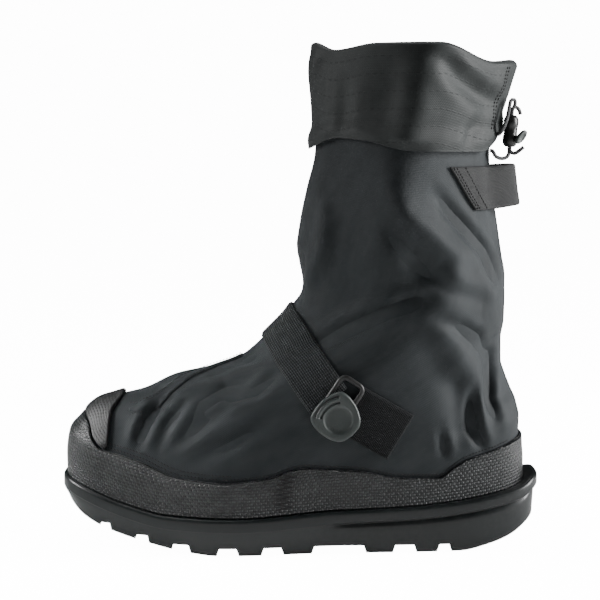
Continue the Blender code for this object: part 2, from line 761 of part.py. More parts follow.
def side_patch(form, centre, along, width, length, lift, columns, rows_count):
    """Rows of points of a rectangle laid on the outer side, centred in side view, along a side-view direction."""
    middle = side_point(centre)
    way = Vector((math.cos(along), 0, math.sin(along)))
    across = Vector((-way.z, 0, way.x))
    rows = []
    for r in range(rows_count + 1):
        row = []
        for c in range(columns + 1):
            start = middle + way * (length * (c / columns - 0.5)) + across * (width * (r / rows_count - 0.5))
            hit, normal = on_form(form, start, Vector((0, -1, 0)))
            row.append(hit + normal * lift)
        rows.append(row)
    return rows


TAB_CENTRE = (0.151, 0.457)
TAB_LEAN = math.radians(-31)


def make_buckle_tab(form, finish, group):
    """The webbing tab sewn to the outer side of the ankle, which holds the buckle's frame."""
    rows = side_patch(form, TAB_CENTRE, TAB_LEAN, TAB_WIDTH, TAB_LENGTH, SOFT_GAP * 1.5, 5, 3)
    tab = add("buckle_tab", grid_mesh("buckle_tab", rows, False), finish, group)
    thicken(tab, TAB_THICKNESS, 1)


def place_on_side(form, centre, along, lift):
    """A frame on the outer side: an origin off the surface, and its ways along, across and straight out."""
    hit, normal = on_form(form, side_point(centre), Vector((0, -1, 0)))
    way = Vector((math.cos(along), 0, math.sin(along)))
    way = (way - normal * way.dot(normal)).normalized()
    return hit + normal * lift, way, normal.cross(way), normal


def in_frame(frame, along, across, out):
    origin, way, side, normal = frame
    return origin + way * along + side * across + normal * out


BUCKLE_CENTRE = (0.080, 0.554)
BUCKLE_LEAN = math.radians(-33)
BUCKLE_LIFT = 5.1 * MM


def make_buckle_frame(form, finish, group):
    """The buckle's ring, whose two rails stand outside the tab's edges."""
    frame = place_on_side(form, BUCKLE_CENTRE, BUCKLE_LEAN, BUCKLE_LIFT)
    corner = 6 * MM
    path = []
    for quarter in range(4):
        cx = (BUCKLE_FRAME_LENGTH / 2 - corner) * (1, -1, -1, 1)[quarter]
        cy = (BUCKLE_FRAME_WIDTH / 2 - corner) * (1, 1, -1, -1)[quarter]
        for step in range(5):
            angle = math.radians(90 * quarter + 90 * step / 4)
            path.append((cx, cy, math.cos(angle), math.sin(angle)))
    rings = []
    sides = 8
    for cx, cy, ox, oy in path:
        ring = []
        for k in range(sides):
            turn = 2 * math.pi * k / sides
            reach = corner - BUCKLE_BAR / 2 + math.cos(turn) * BUCKLE_BAR / 2
            ring.append(in_frame(frame, cx + ox * reach, cy + oy * reach, math.sin(turn) * BUCKLE_BAR * 0.45))
        rings.append(ring)
    add("buckle_frame", closed_tube("buckle_frame", rings), finish, group)


def closed_tube(name, rings):
    """A tube through rings of points which meets its own start."""
    count, sides = len(rings), len(rings[0])
    points = [tuple(point) for ring in rings for point in ring]
    faces = []
    for r in range(count):
        s = (r + 1) % count
        for c in range(sides):
            d = (c + 1) % sides
            faces.append((r * sides + c, s * sides + c, s * sides + d, r * sides + d))
    mesh = bpy.data.meshes.new(name)
    mesh.from_pydata(points, [], faces)
    mesh.shade_smooth()
    return mesh


LEVER_CENTRE = (0.0745, 0.489)
LEVER_LEAN = math.radians(-49)
LEVER_LIFT = 8.0 * MM
LEVER_DISH = 9.8 * MM
DISH_OFFSET = 1.2 * MM
LEVER_GROOVES = (19.3 * MM, 15.2 * MM)
GROOVE_CENTRE = 6 * MM
GROOVE_WIDTH = 1.5 * MM
GROOVE_DEPTH = 1.3 * MM
GROOVE_REACH = math.radians(33)

# Half the lever's outline from its grip to its pivot, as shares of half its length and half its width
LEVER_OUTLINE = (
    (1.00, 0.00),
    (0.94, 0.40),
    (0.79, 0.64),
    (0.58, 0.79),
    (0.30, 0.91),
    (0.00, 0.98),
    (-0.32, 1.00),
    (-0.60, 0.95),
    (-0.78, 0.82),
    (-0.88, 0.62),
    (-0.96, 0.32),
    (-1.00, 0.00),
)


def lever_outline(count):
    """The lever's whole outline, from the grip's middle round and back, in an even number of points."""
    half = []
    steps = count // 2
    for k in range(steps + 1):
        place = (len(LEVER_OUTLINE) - 1) * k / steps
        along = curve(list(enumerate(row[0] for row in LEVER_OUTLINE)), place)
        across = curve(list(enumerate(row[1] for row in LEVER_OUTLINE)), place)
        half.append((along, across))
    return half + [(along, -across) for along, across in reversed(half[1:-1])]


def arc_channel(frame, radius, low, high):
    """A narrow curved box across the lever, bent round GROOVE_CENTRE."""
    points, faces, steps = [], [], 8
    for k in range(steps + 1):
        angle = lerp(-GROOVE_REACH, GROOVE_REACH, k / steps)
        for grow, out in ((-0.5, low), (0.5, low), (0.5, high), (-0.5, high)):
            reach = radius + grow * GROOVE_WIDTH
            along, across = GROOVE_CENTRE - math.cos(angle) * reach, math.sin(angle) * reach
            points.append(in_frame(frame, along, across, out))
    for k in range(steps):
        for c in range(4):
            d = (c + 1) % 4
            faces.append((4 * k + c, 4 * k + d, 4 * k + 4 + d, 4 * k + 4 + c))
    faces += [(3, 2, 1, 0), tuple(4 * steps + c for c in range(4))]
    return points, faces


def make_buckle_lever(form, finish, group, cutters):
    """The shield-shaped cam lever, closed flat over the strap's end, with a dish for the thumb."""
    frame = place_on_side(form, LEVER_CENTRE, LEVER_LEAN, LEVER_LIFT)
    half_length, half_width = LEVER_LENGTH / 2, LEVER_WIDTH / 2
    count = 28
    rings = []
    thick = LEVER_THICKNESS
    for inset, out in ((1.2 * MM, 0), (0, 0.25), (0, 0.8), (0.9 * MM, 1.0)):
        ring = []
        for along, across in lever_outline(count):
            ring.append(in_frame(frame, along * (half_length - inset), across * (half_width - inset), out * thick))
        rings.append(ring)
    for radius, out in ((LEVER_DISH, 0.96), (LEVER_DISH - 1.6 * MM, 0.70)):
        ring = []
        for turn in turns(count):
            angle = 2 * math.pi * turn
            along, across = math.cos(angle) * radius + DISH_OFFSET, math.sin(angle) * radius
            ring.append(in_frame(frame, along, across, out * thick))
        rings.append(ring)
    lever = add("buckle_lever", closed_rings("buckle_lever", rings), finish, group)
    channels = [arc_channel(frame, radius, thick - GROOVE_DEPTH, thick * 1.5) for radius in LEVER_GROOVES]
    cut = lever.modifiers.new("grooves", "BOOLEAN")
    cut.operation = "DIFFERENCE"
    cut.solver = "EXACT"
    cut.object = join_cutters("lever_grooves", channels, cutters)


CLOSURE_TOP = 1.556
CLOSURE_BACK = 0.5


def make_closure_strap(finish, group):
    """The strap sewn with a slanted end behind the outer side, standing off the shaft's back as a loop."""
    spans, bands = 24, 2
    top = SOLE_THICKNESS + ring_height(CLOSURE_TOP)
    rows = []
    for r in range(bands + 1):
        height = top - CLOSURE_WIDTH * (1 - r / bands)
        start = lerp(CLOSURE_OUTER_LOW, CLOSURE_OUTER_HIGH, r / bands)
        row = []
        for c in range(spans + 1):
            turn = lerp(start, CLOSURE_INNER, c / spans)
            loop = math.exp(-(((turn - CLOSURE_BACK) / 0.052) ** 4))
            offset = SOFT_GAP * 1.5 + CLOSURE_STAND_OFF * loop
            row.append(skin(level_at(turn, height), turn, offset))
        rows.append(row)
    strap = add("closure_strap", grid_mesh("closure_strap", rows, False), finish, group)
    thicken(strap, CLOSURE_THICKNESS, 1)


CLOSURE_OUTER_LOW = 0.385
CLOSURE_OUTER_HIGH = 0.328
CLOSURE_INNER = 0.665

# The cord lock's centre: its offset to the outer side, its height as the rings give it, and how far it stands
# off the cuff's back
LOCK_OFFSET = -9 * MM
LOCK_HEIGHT = 1.697
LOCK_STAND_OFF = 7.2 * MM

# The drawcord in millimetres from the lock's centre: where each part starts (y, z), then hand-placed points
CORD_LEAD = 2.2 * MM
UPPER_EXIT = (-8, -2)
LOWER_EXIT = (-5, -13)
CORD_UPPER = (
    (-6.3, -10.3, 1.5),
    (-3.7, -9.6, 8),
    (-1.9, -6.5, 15),
    (-0.4, -3.2, 20.3),
    (2.3, -1.4, 20.6),
    (2.6, -1.2, 17.4),
    (0.9, -1.4, 14.3),
    (0.65, -1.48, 10.77),
)
CORD_LOWER = (
    (-10.6, -6.0, -16.8),
    (-6.3, -4.0, -18.4),
    (-2.4, -1.4, -17.4),
    (-0.65, 1.2, -14.4),
    (-0.65, 1.48, -10.77),
)
CORD_END_HIGH = ((0.65, 2.52, 10.77), (0.83, 2.67, 13.8), (3.0, 3.0, 16.0), (5.8, 3.5, 14.5), (7.0, 4.0, 11.0))
CORD_END_LOW = (
    (-0.65, -2.52, -10.77),
    (-0.5, -2.7, -13.4),
    (2.2, -3.4, -15.0),
    (5.4, -3.9, -13.2),
    (8.4, -4.3, -10.6),
)


def smooth_path(points, count):
    """Points of equal parameter along a smooth curve through hand-placed points."""
    spots = list(points)
    spots = [spots[0] * 2 - spots[1], *spots, spots[-1] * 2 - spots[-2]]
    path = []
    for k in range(count + 1):
        place = k / count * (len(spots) - 3)
        i = min(int(place), len(spots) - 4)
        t = place - i
        a, b, c, d = spots[i : i + 4]
        path.append(
            (b * 2 + (c - a) * t + (a * 2 - b * 5 + c * 4 - d) * t**2 + (b * 3 - a - c * 3 + d) * t**3) / 2
        )
    return path


def lock_centre(cuff):
    """The cord lock's centre, at its stand-off from the cuff's back."""
    height = SOLE_THICKNESS + ring_height(LOCK_HEIGHT)
    hit, normal = on_form(cuff, Vector((SOLE_LENGTH, LOCK_OFFSET, height)), Vector((-1, 0, 0)))
    return Vector((hit.x + LOCK_STAND_OFF, LOCK_OFFSET, height))


def from_lock(centre, points):
    return [centre + Vector(point) * MM for point in points]


def leave(surface, centre, exit_yz):
    """The first two points of a cord: just off a surface's outer face, and straight out from it."""
    y, z = exit_yz
    start = centre + Vector((SOLE_LENGTH, y * MM, z * MM))
    hit, normal = on_form(surface, start, Vector((-1, 0, 0)))
    return [hit - normal * GAP, hit - normal * CORD_LEAD]


def make_cord(name, points, count, finish, group):
    data = bpy.data.curves.new(name, "CURVE")
    data.dimensions = "3D"
    data.bevel_depth = CORD_DIAMETER / 2
    data.bevel_resolution = 2
    data.use_fill_caps = True
    spline = data.splines.new("POLY")
    path = smooth_path(points, count)
    spline.points.add(len(path) - 1)
    for spot, point in zip(spline.points, path):
        spot.co = (*point, 1)
    data.materials.append(finish)
    item = bpy.data.objects.new(name, data)
    group.objects.link(item)


def turned_body(centre, axis, profile, squash, sides, start):
    """Rings of a turned solid: (distance along the axis, radius) pairs, squashed across the start direction."""
    axis = axis.normalized()
    first = (start - axis * start.dot(axis)).normalized()
    second = axis.cross(first)
    rings = []
    for along, radius in profile:
        ring = []
        for k in range(sides):
            turn = 2 * math.pi * k / sides
            reach = first * (math.cos(turn) * radius) + second * (math.sin(turn) * radius * squash)
            ring.append(centre + axis * along + reach)
        rings.append(ring)
    return rings


# The lock's button: the way that it faces, the way of its longer diameter, and the shorter one's share
BUTTON_WAY = Vector((0.62, -0.68, -0.39))
BUTTON_LONG_WAY = Vector((0.75, 0, 0.65))
BUTTON_SQUASH = 0.62


def make_cord_lock(centre, body_finish, button_finish, group):
    """The barrel through which both cords pass, and the oval button pressed to free them."""
    half, radius = LOCK_LENGTH / 2, LOCK_DIAMETER / 2
    axis = Vector((0.06, 0.05, 1))
    profile = (
        (-half, radius * 0.62),
        (-half * 0.9, radius * 0.84),
        (-half * 0.55, radius),
        (0, radius * 0.94),
        (half * 0.55, radius),
        (half * 0.9, radius * 0.84),
        (half, radius * 0.62),
    )
    rings = turned_body(centre, axis, profile, 0.78, 20, Vector((0, 1, 0)))
    add("cord_lock", closed_rings("cord_lock", rings), body_finish, group)
    button = (
        (radius + 1.0 * MM, radius * 0.30),
        (radius + 2.3 * MM, radius * 0.30),
        (radius + 2.5 * MM, radius * 0.74),
        (radius + 3.0 * MM, radius * 0.83),
        (radius + 4.2 * MM, radius * 0.83),
        (radius + 4.8 * MM, radius * 0.70),
    )
    rings = turned_body(centre, BUTTON_WAY, button, BUTTON_SQUASH, 20, BUTTON_LONG_WAY)
    add("cord_lock_button", closed_rings("cord_lock_button", rings), button_finish, group)


VAMP_SEAM = (
    (-0.355, -0.180),
    (-0.327, -0.205),
    (-0.290, -0.168),
    (-0.250, -0.120),
    (-0.205, -0.055),
    (-0.150, -0.010),
    (-0.120, 0.000),
)
VAMP_SEAM_WIDTH = 8 * MM
VAMP_SEAM_THICKNESS = 1.0 * MM
VAMP_SEAM_SPANS = 16


def make_vamp_seam(form, finish, group):
    """The raised lap of the seam that runs from the toe cap up the vamp: place along the sole, and offset."""
    rows = []
    for c in range(-1, 2):
        row = []
        for k in range(VAMP_SEAM_SPANS + 1):
            place = lerp(VAMP_SEAM[0][0], VAMP_SEAM[-1][0], k / VAMP_SEAM_SPANS)
            y = curve(VAMP_SEAM, place) * BALL_WIDTH + c * VAMP_SEAM_WIDTH / 2
            start = Vector((place * SOLE_LENGTH, y, SOLE_THICKNESS))
            hit, normal = on_form(form, start, Vector((0, 0, 1)))
            row.append(hit + normal * SOFT_GAP * 1.8)
        rows.append(row)
    seam = add("vamp_seam", grid_mesh("vamp_seam", rows, False), finish, group)
    thicken(seam, VAMP_SEAM_THICKNESS, 1)


def make_all():
    clear_scene()
    parts = collection("winter_overshoe")
    cutters = collection("cutters")
    cutters.hide_render = True
    nylon = material("nylon", (0.020, 0.022, 0.025), 0.62)
    rubber = material("rubber", (0.030, 0.032, 0.034), 0.48)
    ripstop = material("ripstop", (0.028, 0.029, 0.030), 0.55)
    webbing = material("webbing", (0.018, 0.019, 0.020), 0.70)
    lining = material("lining", (0.040, 0.040, 0.042), 0.80)
    grey_plastic = material("grey_plastic", (0.130, 0.135, 0.130), 0.42)
    black_plastic = material("black_plastic", (0.016, 0.016, 0.017), 0.38)
    cord = material("cord", (0.060, 0.062, 0.064), 0.60)
    make_outsole(rubber, parts, cutters)
    make_insole(lining, parts)
    form = make_upper(nylon, parts)
    make_rand(rubber, parts)
    make_toe_cap(rubber, parts)
    make_vamp_seam(form, nylon, parts)
    cuff = make_cuff(ripstop, parts)
    make_instep_strap(form, webbing, parts)
    make_buckle_tab(form, webbing, parts)
    make_buckle_frame(form, black_plastic, parts)
    make_buckle_lever(form, grey_plastic, parts, cutters)
    make_closure_strap(webbing, parts)
    lock = lock_centre(cuff)
    upper_path = leave(cuff, lock, UPPER_EXIT) + from_lock(lock, CORD_UPPER)
    lower_path = leave(form, lock, LOWER_EXIT) + from_lock(lock, CORD_LOWER)
    make_cord("drawcord_upper", upper_path, 15, cord, parts)
    make_cord("drawcord_lower", lower_path, 10, cord, parts)
    make_cord("cord_end_high", from_lock(lock, CORD_END_HIGH), 7, cord, parts)
    make_cord("cord_end_low", from_lock(lock, CORD_END_LOW), 7, cord, parts)
    make_cord_lock(lock, black_plastic, grey_plastic, parts)


make_all()
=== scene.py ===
"""Dressed scene of the winter overshoe: finer cloth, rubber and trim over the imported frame.

Metres, +Z up. The toe points along -X, the outer side of the foot along -Y, and the floor is Z = 0.
"""

import math
from collections import namedtuple

import bpy
import numpy as np
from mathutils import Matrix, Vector
from mathutils.bvhtree import BVHTree


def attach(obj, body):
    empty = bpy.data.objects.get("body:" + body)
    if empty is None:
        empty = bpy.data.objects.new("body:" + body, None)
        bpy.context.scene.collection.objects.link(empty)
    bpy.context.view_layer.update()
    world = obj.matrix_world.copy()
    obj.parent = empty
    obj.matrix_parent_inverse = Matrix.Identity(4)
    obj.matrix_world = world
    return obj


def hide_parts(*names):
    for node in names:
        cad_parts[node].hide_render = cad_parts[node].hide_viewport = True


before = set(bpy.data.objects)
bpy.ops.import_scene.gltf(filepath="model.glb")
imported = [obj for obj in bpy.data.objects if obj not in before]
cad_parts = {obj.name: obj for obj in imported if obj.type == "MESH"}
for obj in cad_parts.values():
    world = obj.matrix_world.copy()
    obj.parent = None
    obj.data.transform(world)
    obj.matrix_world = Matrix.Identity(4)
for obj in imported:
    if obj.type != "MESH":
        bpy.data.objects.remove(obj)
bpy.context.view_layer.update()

MM = 0.001

# Sizes and tables of the overshoe, the same as the solids have
SOLE_LENGTH = 325 * MM
BALL_WIDTH = 120 * MM
SOLE_THICKNESS = 25 * MM
INSTEP_RISE = 140 * MM
SHAFT_RISE = 165 * MM
TOE_SPRING = 31 * MM
HEEL_ROCKER = 19 * MM
TOE_LIFT = 23 * MM
HEEL_LIFT = 24 * MM
LIP_HEIGHT = 9 * MM
LIP_STEP = 2.4 * MM
LIP_ROUND = 1.2 * MM
SIDE_TAPER = 3.2 * MM
BOTTOM_CHAMFER = 3.0 * MM
LUG_DEPTH = 5.5 * MM
LUG_SLOPE = 1.8 * MM
TREAD_CHANNEL = 7 * MM
INSOLE_THICKNESS = 3 * MM
INSOLE_MARGIN = 2.5 * MM
NYLON = 1.3 * MM
RAND_THICKNESS = 1.9 * MM
TOE_CAP_THICKNESS = 2.6 * MM
CUFF_CLOTH = 1.2 * MM
CUFF_RETURN = 22 * MM
HEM_SWELL = 1.5 * MM
STRAP_WIDTH = 30 * MM
STRAP_THICKNESS = 1.7 * MM
TAB_WIDTH = 34 * MM
TAB_LENGTH = 40 * MM
TAB_THICKNESS = 2.2 * MM
CLOSURE_WIDTH = 29 * MM
CLOSURE_THICKNESS = 1.4 * MM
CLOSURE_STAND_OFF = 15 * MM
BUCKLE_FRAME_WIDTH = 38 * MM
BUCKLE_FRAME_LENGTH = 20 * MM
BUCKLE_BAR = 3.4 * MM
LEVER_WIDTH = 30.5 * MM
LEVER_LENGTH = 30.5 * MM
LEVER_THICKNESS = 4.2 * MM
CORD_DIAMETER = 2.6 * MM
LOCK_DIAMETER = 13 * MM
LOCK_LENGTH = 21 * MM
GAP = 0.3 * MM
SOFT_GAP = 0.6 * MM
RAND_GAP = 0.5 * MM

STATIONS = (0.10, 0.30, 0.60, 0.88)
Ring = namedtuple("Ring", "front back z0 z1 z2 z3 z4 z5 w1 w2 w3 w4 follow front_power back_power")
RING_ROWS = (
    (-0.485, 0.463, 0.000, 0.000, 0.000, 0.000, 0.000, 0.000, 0.312, 0.442, 0.350, 0.300, 1.00, 0.66, 0.60),
    (-0.486, 0.463, 0.105, 0.095, 0.085, 0.090, 0.090, 0.110, 0.317, 0.442, 0.358, 0.302, 1.00, 0.66, 0.60),
    (-0.480, 0.461, 0.220, 0.180, 0.140, 0.150, 0.135, 0.180, 0.312, 0.438, 0.367, 0.304, 1.00, 0.68, 0.60),
    (-0.462, 0.460, 0.290, 0.243, 0.193, 0.206, 0.175, 0.243, 0.304, 0.433, 0.371, 0.304, 1.00, 0.72, 0.62),
    (-0.428, 0.461, 0.395, 0.350, 0.307, 0.307, 0.280, 0.320, 0.283, 0.421, 0.383, 0.308, 1.00, 0.76, 0.64),
    (-0.382, 0.455, 0.468, 0.460, 0.420, 0.410, 0.386, 0.396, 0.267, 0.388, 0.392, 0.304, 1.00, 0.80, 0.70),
    (-0.323, 0.443, 0.556, 0.546, 0.514, 0.514, 0.507, 0.526, 0.258, 0.362, 0.396, 0.292, 0.50, 0.86, 0.76),
    (-0.265, 0.431, 0.632, 0.627, 0.600, 0.613, 0.610, 0.621, 0.208, 0.342, 0.400, 0.279, 0.30, 0.90, 0.80),
    (-0.197, 0.423, 0.672, 0.676, 0.686, 0.700, 0.705, 0.705, 0.188, 0.337, 0.408, 0.275, 0.15, 0.90, 0.84),
    (-0.129, 0.423, 0.724, 0.742, 0.764, 0.786, 0.800, 0.814, 0.225, 0.346, 0.417, 0.267, 0.00, 0.88, 0.86),
    (-0.062, 0.428, 0.857, 0.862, 0.870, 0.885, 0.900, 0.907, 0.208, 0.346, 0.425, 0.258, 0.00, 0.86, 0.88),
    (-0.018, 0.429, 0.971, 0.973, 0.980, 0.990, 1.000, 1.010, 0.225, 0.358, 0.433, 0.258, 0.00, 0.86, 0.90),
    (0.002, 0.428, 1.073, 1.075, 1.080, 1.085, 1.090, 1.097, 0.233, 0.367, 0.442, 0.258, 0.00, 0.88, 0.90),
    (-0.008, 0.421, 1.200, 1.200, 1.200, 1.200, 1.200, 1.200, 0.233, 0.375, 0.450, 0.258, 0.00, 0.90, 0.92),
    (0.000, 0.411, 1.333, 1.333, 1.333, 1.333, 1.333, 1.333, 0.225, 0.375, 0.450, 0.250, 0.00, 0.92, 0.94),
    (0.014, 0.400, 1.467, 1.467, 1.467, 1.467, 1.467, 1.467, 0.217, 0.375, 0.450, 0.250, 0.00, 0.95, 0.98),
    (0.031, 0.394, 1.612, 1.612, 1.612, 1.612, 1.612, 1.606, 0.200, 0.367, 0.450, 0.242, 0.00, 1.05, 1.05),
    (0.036, 0.412, 1.806, 1.806, 1.806, 1.806, 1.800, 1.794, 0.183, 0.358, 0.458, 0.225, 0.00, 1.15, 1.12),
    (0.035, 0.438, 2.035, 2.000, 2.022, 2.022, 1.955, 1.965, 0.167, 0.358, 0.475, 0.208, 0.00, 1.25, 1.20),
)
RINGS = [Ring(*row) for row in RING_ROWS]
RAND_TOP = 3
COLLAR = len(RINGS) - 1
SOLE_RING = Ring(-0.5, 0.5, 0, 0, 0, 0, 0, 0, 0.350, 0.492, 0.396, 0.350, 1.0, 0.66, 0.60)
SWING = ((-0.5, 0.030), (-0.38, 0.030), (-0.15, 0.0), (0.12, -0.020), (0.38, 0.0), (0.5, 0.0))
TOP_LINE = (
    (-0.50, 1.00, 0.00),
    (-0.45, 0.72, 0.00),
    (-0.36, 0.30, 0.00),
    (-0.27, 0.05, 0.00),
    (-0.12, 0.00, 0.00),
    (0.06, 0.00, 0.15),
    (0.25, 0.00, 0.28),
    (0.39, 0.00, 0.50),
    (0.46, 0.00, 0.70),
    (0.50, 0.00, 1.00),
)
TREAD_LINE = (
    (-0.50, 1.00, 0.00),
    (-0.46, 0.66, 0.00),
    (-0.40, 0.40, 0.00),
    (-0.32, 0.20, 0.00),
    (-0.24, 0.06, 0.00),
    (-0.17, 0.00, 0.00),
    (0.34, 0.00, 0.00),
    (0.40, 0.00, 0.18),
    (0.45, 0.00, 0.46),
    (0.50, 0.00, 1.00),
)
RAND_EDGE = (
    (-0.485, 0.296),
    (-0.466, 0.275),
    (-0.440, 0.226),
    (-0.418, 0.208),
    (-0.380, 0.215),
    (-0.350, 0.214),
    (-0.303, 0.199),
    (-0.254, 0.180),
    (-0.163, 0.171),
    (-0.107, 0.182),
    (-0.067, 0.194),
    (-0.040, 0.214),
    (-0.010, 0.225),
    (0.035, 0.211),
    (0.106, 0.194),
    (0.143, 0.178),
    (0.177, 0.156),
    (0.239, 0.137),
    (0.292, 0.127),
    (0.304, 0.150),
    (0.341, 0.195),
    (0.373, 0.207),
    (0.415, 0.218),
    (0.463, 0.236),
)
CUFF_HEM = (
    (0.020, 1.615),
    (0.080, 1.671),
    (0.140, 1.660),
    (0.219, 1.625),
    (0.300, 1.620),
    (0.360, 1.618),
    (0.385, 1.660),
    (0.405, 1.800),
)
LUG_PITCH = 30 * MM
LUG_GAPS = (
    (-0.403, 0.22),
    (-0.325, 0.26),
    (-0.243, 0.34),
    (-0.147, 0.38),
    (-0.056, 0.38),
    (0.080, 1.10),
    (0.215, 0.42),
    (0.297, 0.22),
)
TREAD_CHANNELS = (
    (-0.36, 0.04, 0.19),
    (-0.36, 0.04, -0.19),
    (0.13, 0.36, 0.15),
    (0.13, 0.36, -0.15),
)
Fold = namedtuple("Fold", "x0 z0 x1 z1 reach depth side")
FOLDS = (
    Fold(0.035, 0.90, 0.205, 1.08, 0.110, -0.034, -1),
    Fold(0.160, 1.62, 0.185, 1.25, 0.120, 0.036, -1),
    Fold(0.300, 1.36, 0.235, 1.08, 0.110, -0.030, -1),
    Fold(0.400, 0.80, 0.405, 0.55, 0.070, -0.036, -1),
    Fold(0.330, 0.62, 0.345, 0.40, 0.070, -0.034, -1),
    Fold(-0.270, 0.52, -0.185, 0.66, 0.070, -0.026, -1),
    Fold(-0.150, 0.64, -0.070, 0.72, 0.075, -0.028, -1),
    Fold(0.040, 0.92, 0.210, 1.12, 0.110, -0.034, 1),
    Fold(0.190, 1.70, 0.215, 1.25, 0.120, 0.030, 1),
    Fold(0.345, 0.70, 0.330, 0.42, 0.075, -0.034, 1),
    Fold(-0.240, 0.50, -0.130, 0.66, 0.075, -0.026, 1),
)
TOE_CAP_HALF_TURN = 0.087
TOE_CAP_REAR = ((0.25, -0.400), (0.40, -0.394), (0.47, -0.390), (0.51, -0.378), (0.57, -0.360))
STRAP_PLACE = (-0.046, 0.905)
STRAP_FOOT = (0.085, 0.470)
STRAP_OUTER_ANGLE = math.radians(73)
STRAP_INNER_ANGLE = math.radians(-88)
TAB_CENTRE = (0.151, 0.457)
TAB_LEAN = math.radians(-31)
BUCKLE_CENTRE = (0.080, 0.554)
BUCKLE_LEAN = math.radians(-33)
BUCKLE_LIFT = 5.1 * MM
LEVER_CENTRE = (0.0745, 0.489)
LEVER_LEAN = math.radians(-49)
LEVER_LIFT = 8.0 * MM
LEVER_DISH = 9.8 * MM
DISH_OFFSET = 1.2 * MM
LEVER_GROOVES = (19.3 * MM, 15.2 * MM)
GROOVE_CENTRE = 6 * MM
GROOVE_WIDTH = 1.5 * MM
GROOVE_DEPTH = 1.3 * MM
GROOVE_REACH = math.radians(33)
LEVER_OUTLINE = (
    (1.00, 0.00),
    (0.94, 0.40),
    (0.79, 0.64),
    (0.58, 0.79),
    (0.30, 0.91),
    (0.00, 0.98),
    (-0.32, 1.00),
    (-0.60, 0.95),
    (-0.78, 0.82),
    (-0.88, 0.62),
    (-0.96, 0.32),
    (-1.00, 0.00),
)
CLOSURE_TOP = 1.556
CLOSURE_BACK = 0.5
CLOSURE_OUTER_LOW = 0.385
CLOSURE_OUTER_HIGH = 0.328
CLOSURE_INNER = 0.665
BUTTON_WAY = Vector((0.62, -0.68, -0.39))
BUTTON_LONG_WAY = Vector((0.75, 0, 0.65))
BUTTON_SQUASH = 0.62
VAMP_SEAM_WIDTH = 8 * MM
VAMP_SEAM_THICKNESS = 1.0 * MM
VAMP_SEAM = (
    (-0.355, -0.180),
    (-0.327, -0.205),
    (-0.290, -0.168),
    (-0.250, -0.120),
    (-0.205, -0.055),
    (-0.150, -0.010),
    (-0.120, 0.000),
)


# Camera: its distance from the overshoe's middle plane, its height, and what it looks at
CAMERA_DISTANCE = 1.15
CAMERA_HEIGHT = 0.284
CAMERA_TARGET = Vector((0.0, 0.0, 0.165))
CAMERA_LENS = 101.5
SENSOR_WIDTH = 36

# Studio lights: name, place, what each is turned to, width and height, power in watts, and spread in degrees
SOFTBOXES = (
    ("key", (1.52, -0.08, 0.62), (0.05, 0, 0.17), (0.40, 1.1), 60, 180),
    ("toe_side", (-0.72, -0.12, 0.42), (-0.13, 0, 0.045), (0.20, 0.20), 0.32, 34),
    ("shaft_side", (-1.50, 0.04, 0.70), (0, 0, 0.22), (0.3, 0.9), 13, 180),
    ("top", (-0.20, 0.30, 1.50), (0, 0, 0.10), (1.2, 0.6), 12, 180),
    ("fill", (-0.30, -1.60, 1.00), (0, 0, 0.12), (1.2, 0.8), 0.8, 180),
)
WHITE = (1, 1, 1, 1)
FLOOR_SHADE = (0.9, 0.9, 0.9, 1)
FLOOR_CORNERS = ((-6, -4, 0), (6, -4, 0), (6, 8, 0), (-6, 8, 0))
# How bright the backdrop is to the camera, and how much of it lights the overshoe
BACKDROP_GLOW = 14.0
SURROUND_GLOW = 0.03


def linked(name, data):
    """A new object in the scene."""
    item = bpy.data.objects.new(name, data)
    bpy.context.scene.collection.objects.link(item)
    return item


def aim(item, place, target):
    """A camera or a light at a place, turned to a target."""
    item.location = place
    item.rotation_euler = (Vector(target) - Vector(place)).to_track_quat("-Z", "Y").to_euler()


def camera():
    data = bpy.data.cameras.new("camera")
    data.lens = CAMERA_LENS
    data.sensor_width = SENSOR_WIDTH
    item = linked("camera", data)
    aim(item, (0, -CAMERA_DISTANCE, CAMERA_HEIGHT), CAMERA_TARGET)
    bpy.context.scene.camera = item


def softbox(name, place, target, size, power, spread):
    data = bpy.data.lights.new(name, "AREA")
    data.shape = "RECTANGLE"
    data.size, data.size_y = size
    data.energy = power
    data.spread = math.radians(spread)
    aim(linked(name, data), place, target)


def seen_glow(tree, strength, low):
    """A strength that is BACKDROP_GLOW where the camera sees it directly, and low for all other light."""
    path = tree.nodes.new("ShaderNodeLightPath")
    spread = tree.nodes.new("ShaderNodeMapRange")
    tree.links.new(path.outputs["Is Camera Ray"], spread.inputs["Value"])
    spread.inputs["To Min"].default_value = low
    spread.inputs["To Max"].default_value = BACKDROP_GLOW
    tree.links.new(spread.outputs[0], strength)


def studio():
    """A white room: soft lights, a bright backdrop and a bright floor."""
    world = bpy.data.worlds.new("studio")
    world.use_nodes = True
    glow = world.node_tree.nodes["Background"].inputs
    glow["Color"].default_value = WHITE
    seen_glow(world.node_tree, glow["Strength"], SURROUND_GLOW)
    bpy.context.scene.world = world
    for row in SOFTBOXES:
        softbox(*row)
    mesh = bpy.data.meshes.new("floor")
    mesh.from_pydata(FLOOR_CORNERS, [], [(0, 1, 2, 3)])
    finish = bpy.data.materials.new("floor")
    finish.use_nodes = True
    shader = finish.node_tree.nodes["Principled BSDF"].inputs
    shader["Base Color"].default_value = FLOOR_SHADE
    shader["Roughness"].default_value = 0.9
    shader["Emission Color"].default_value = WHITE
    seen_glow(finish.node_tree, shader["Emission Strength"], 0.0)
    mesh.materials.append(finish)
    floor = linked("floor", mesh)


# Steps of the level and the turn over which the surface's slope is taken
LEVEL_STEP = 0.02
TURN_STEP = 0.004
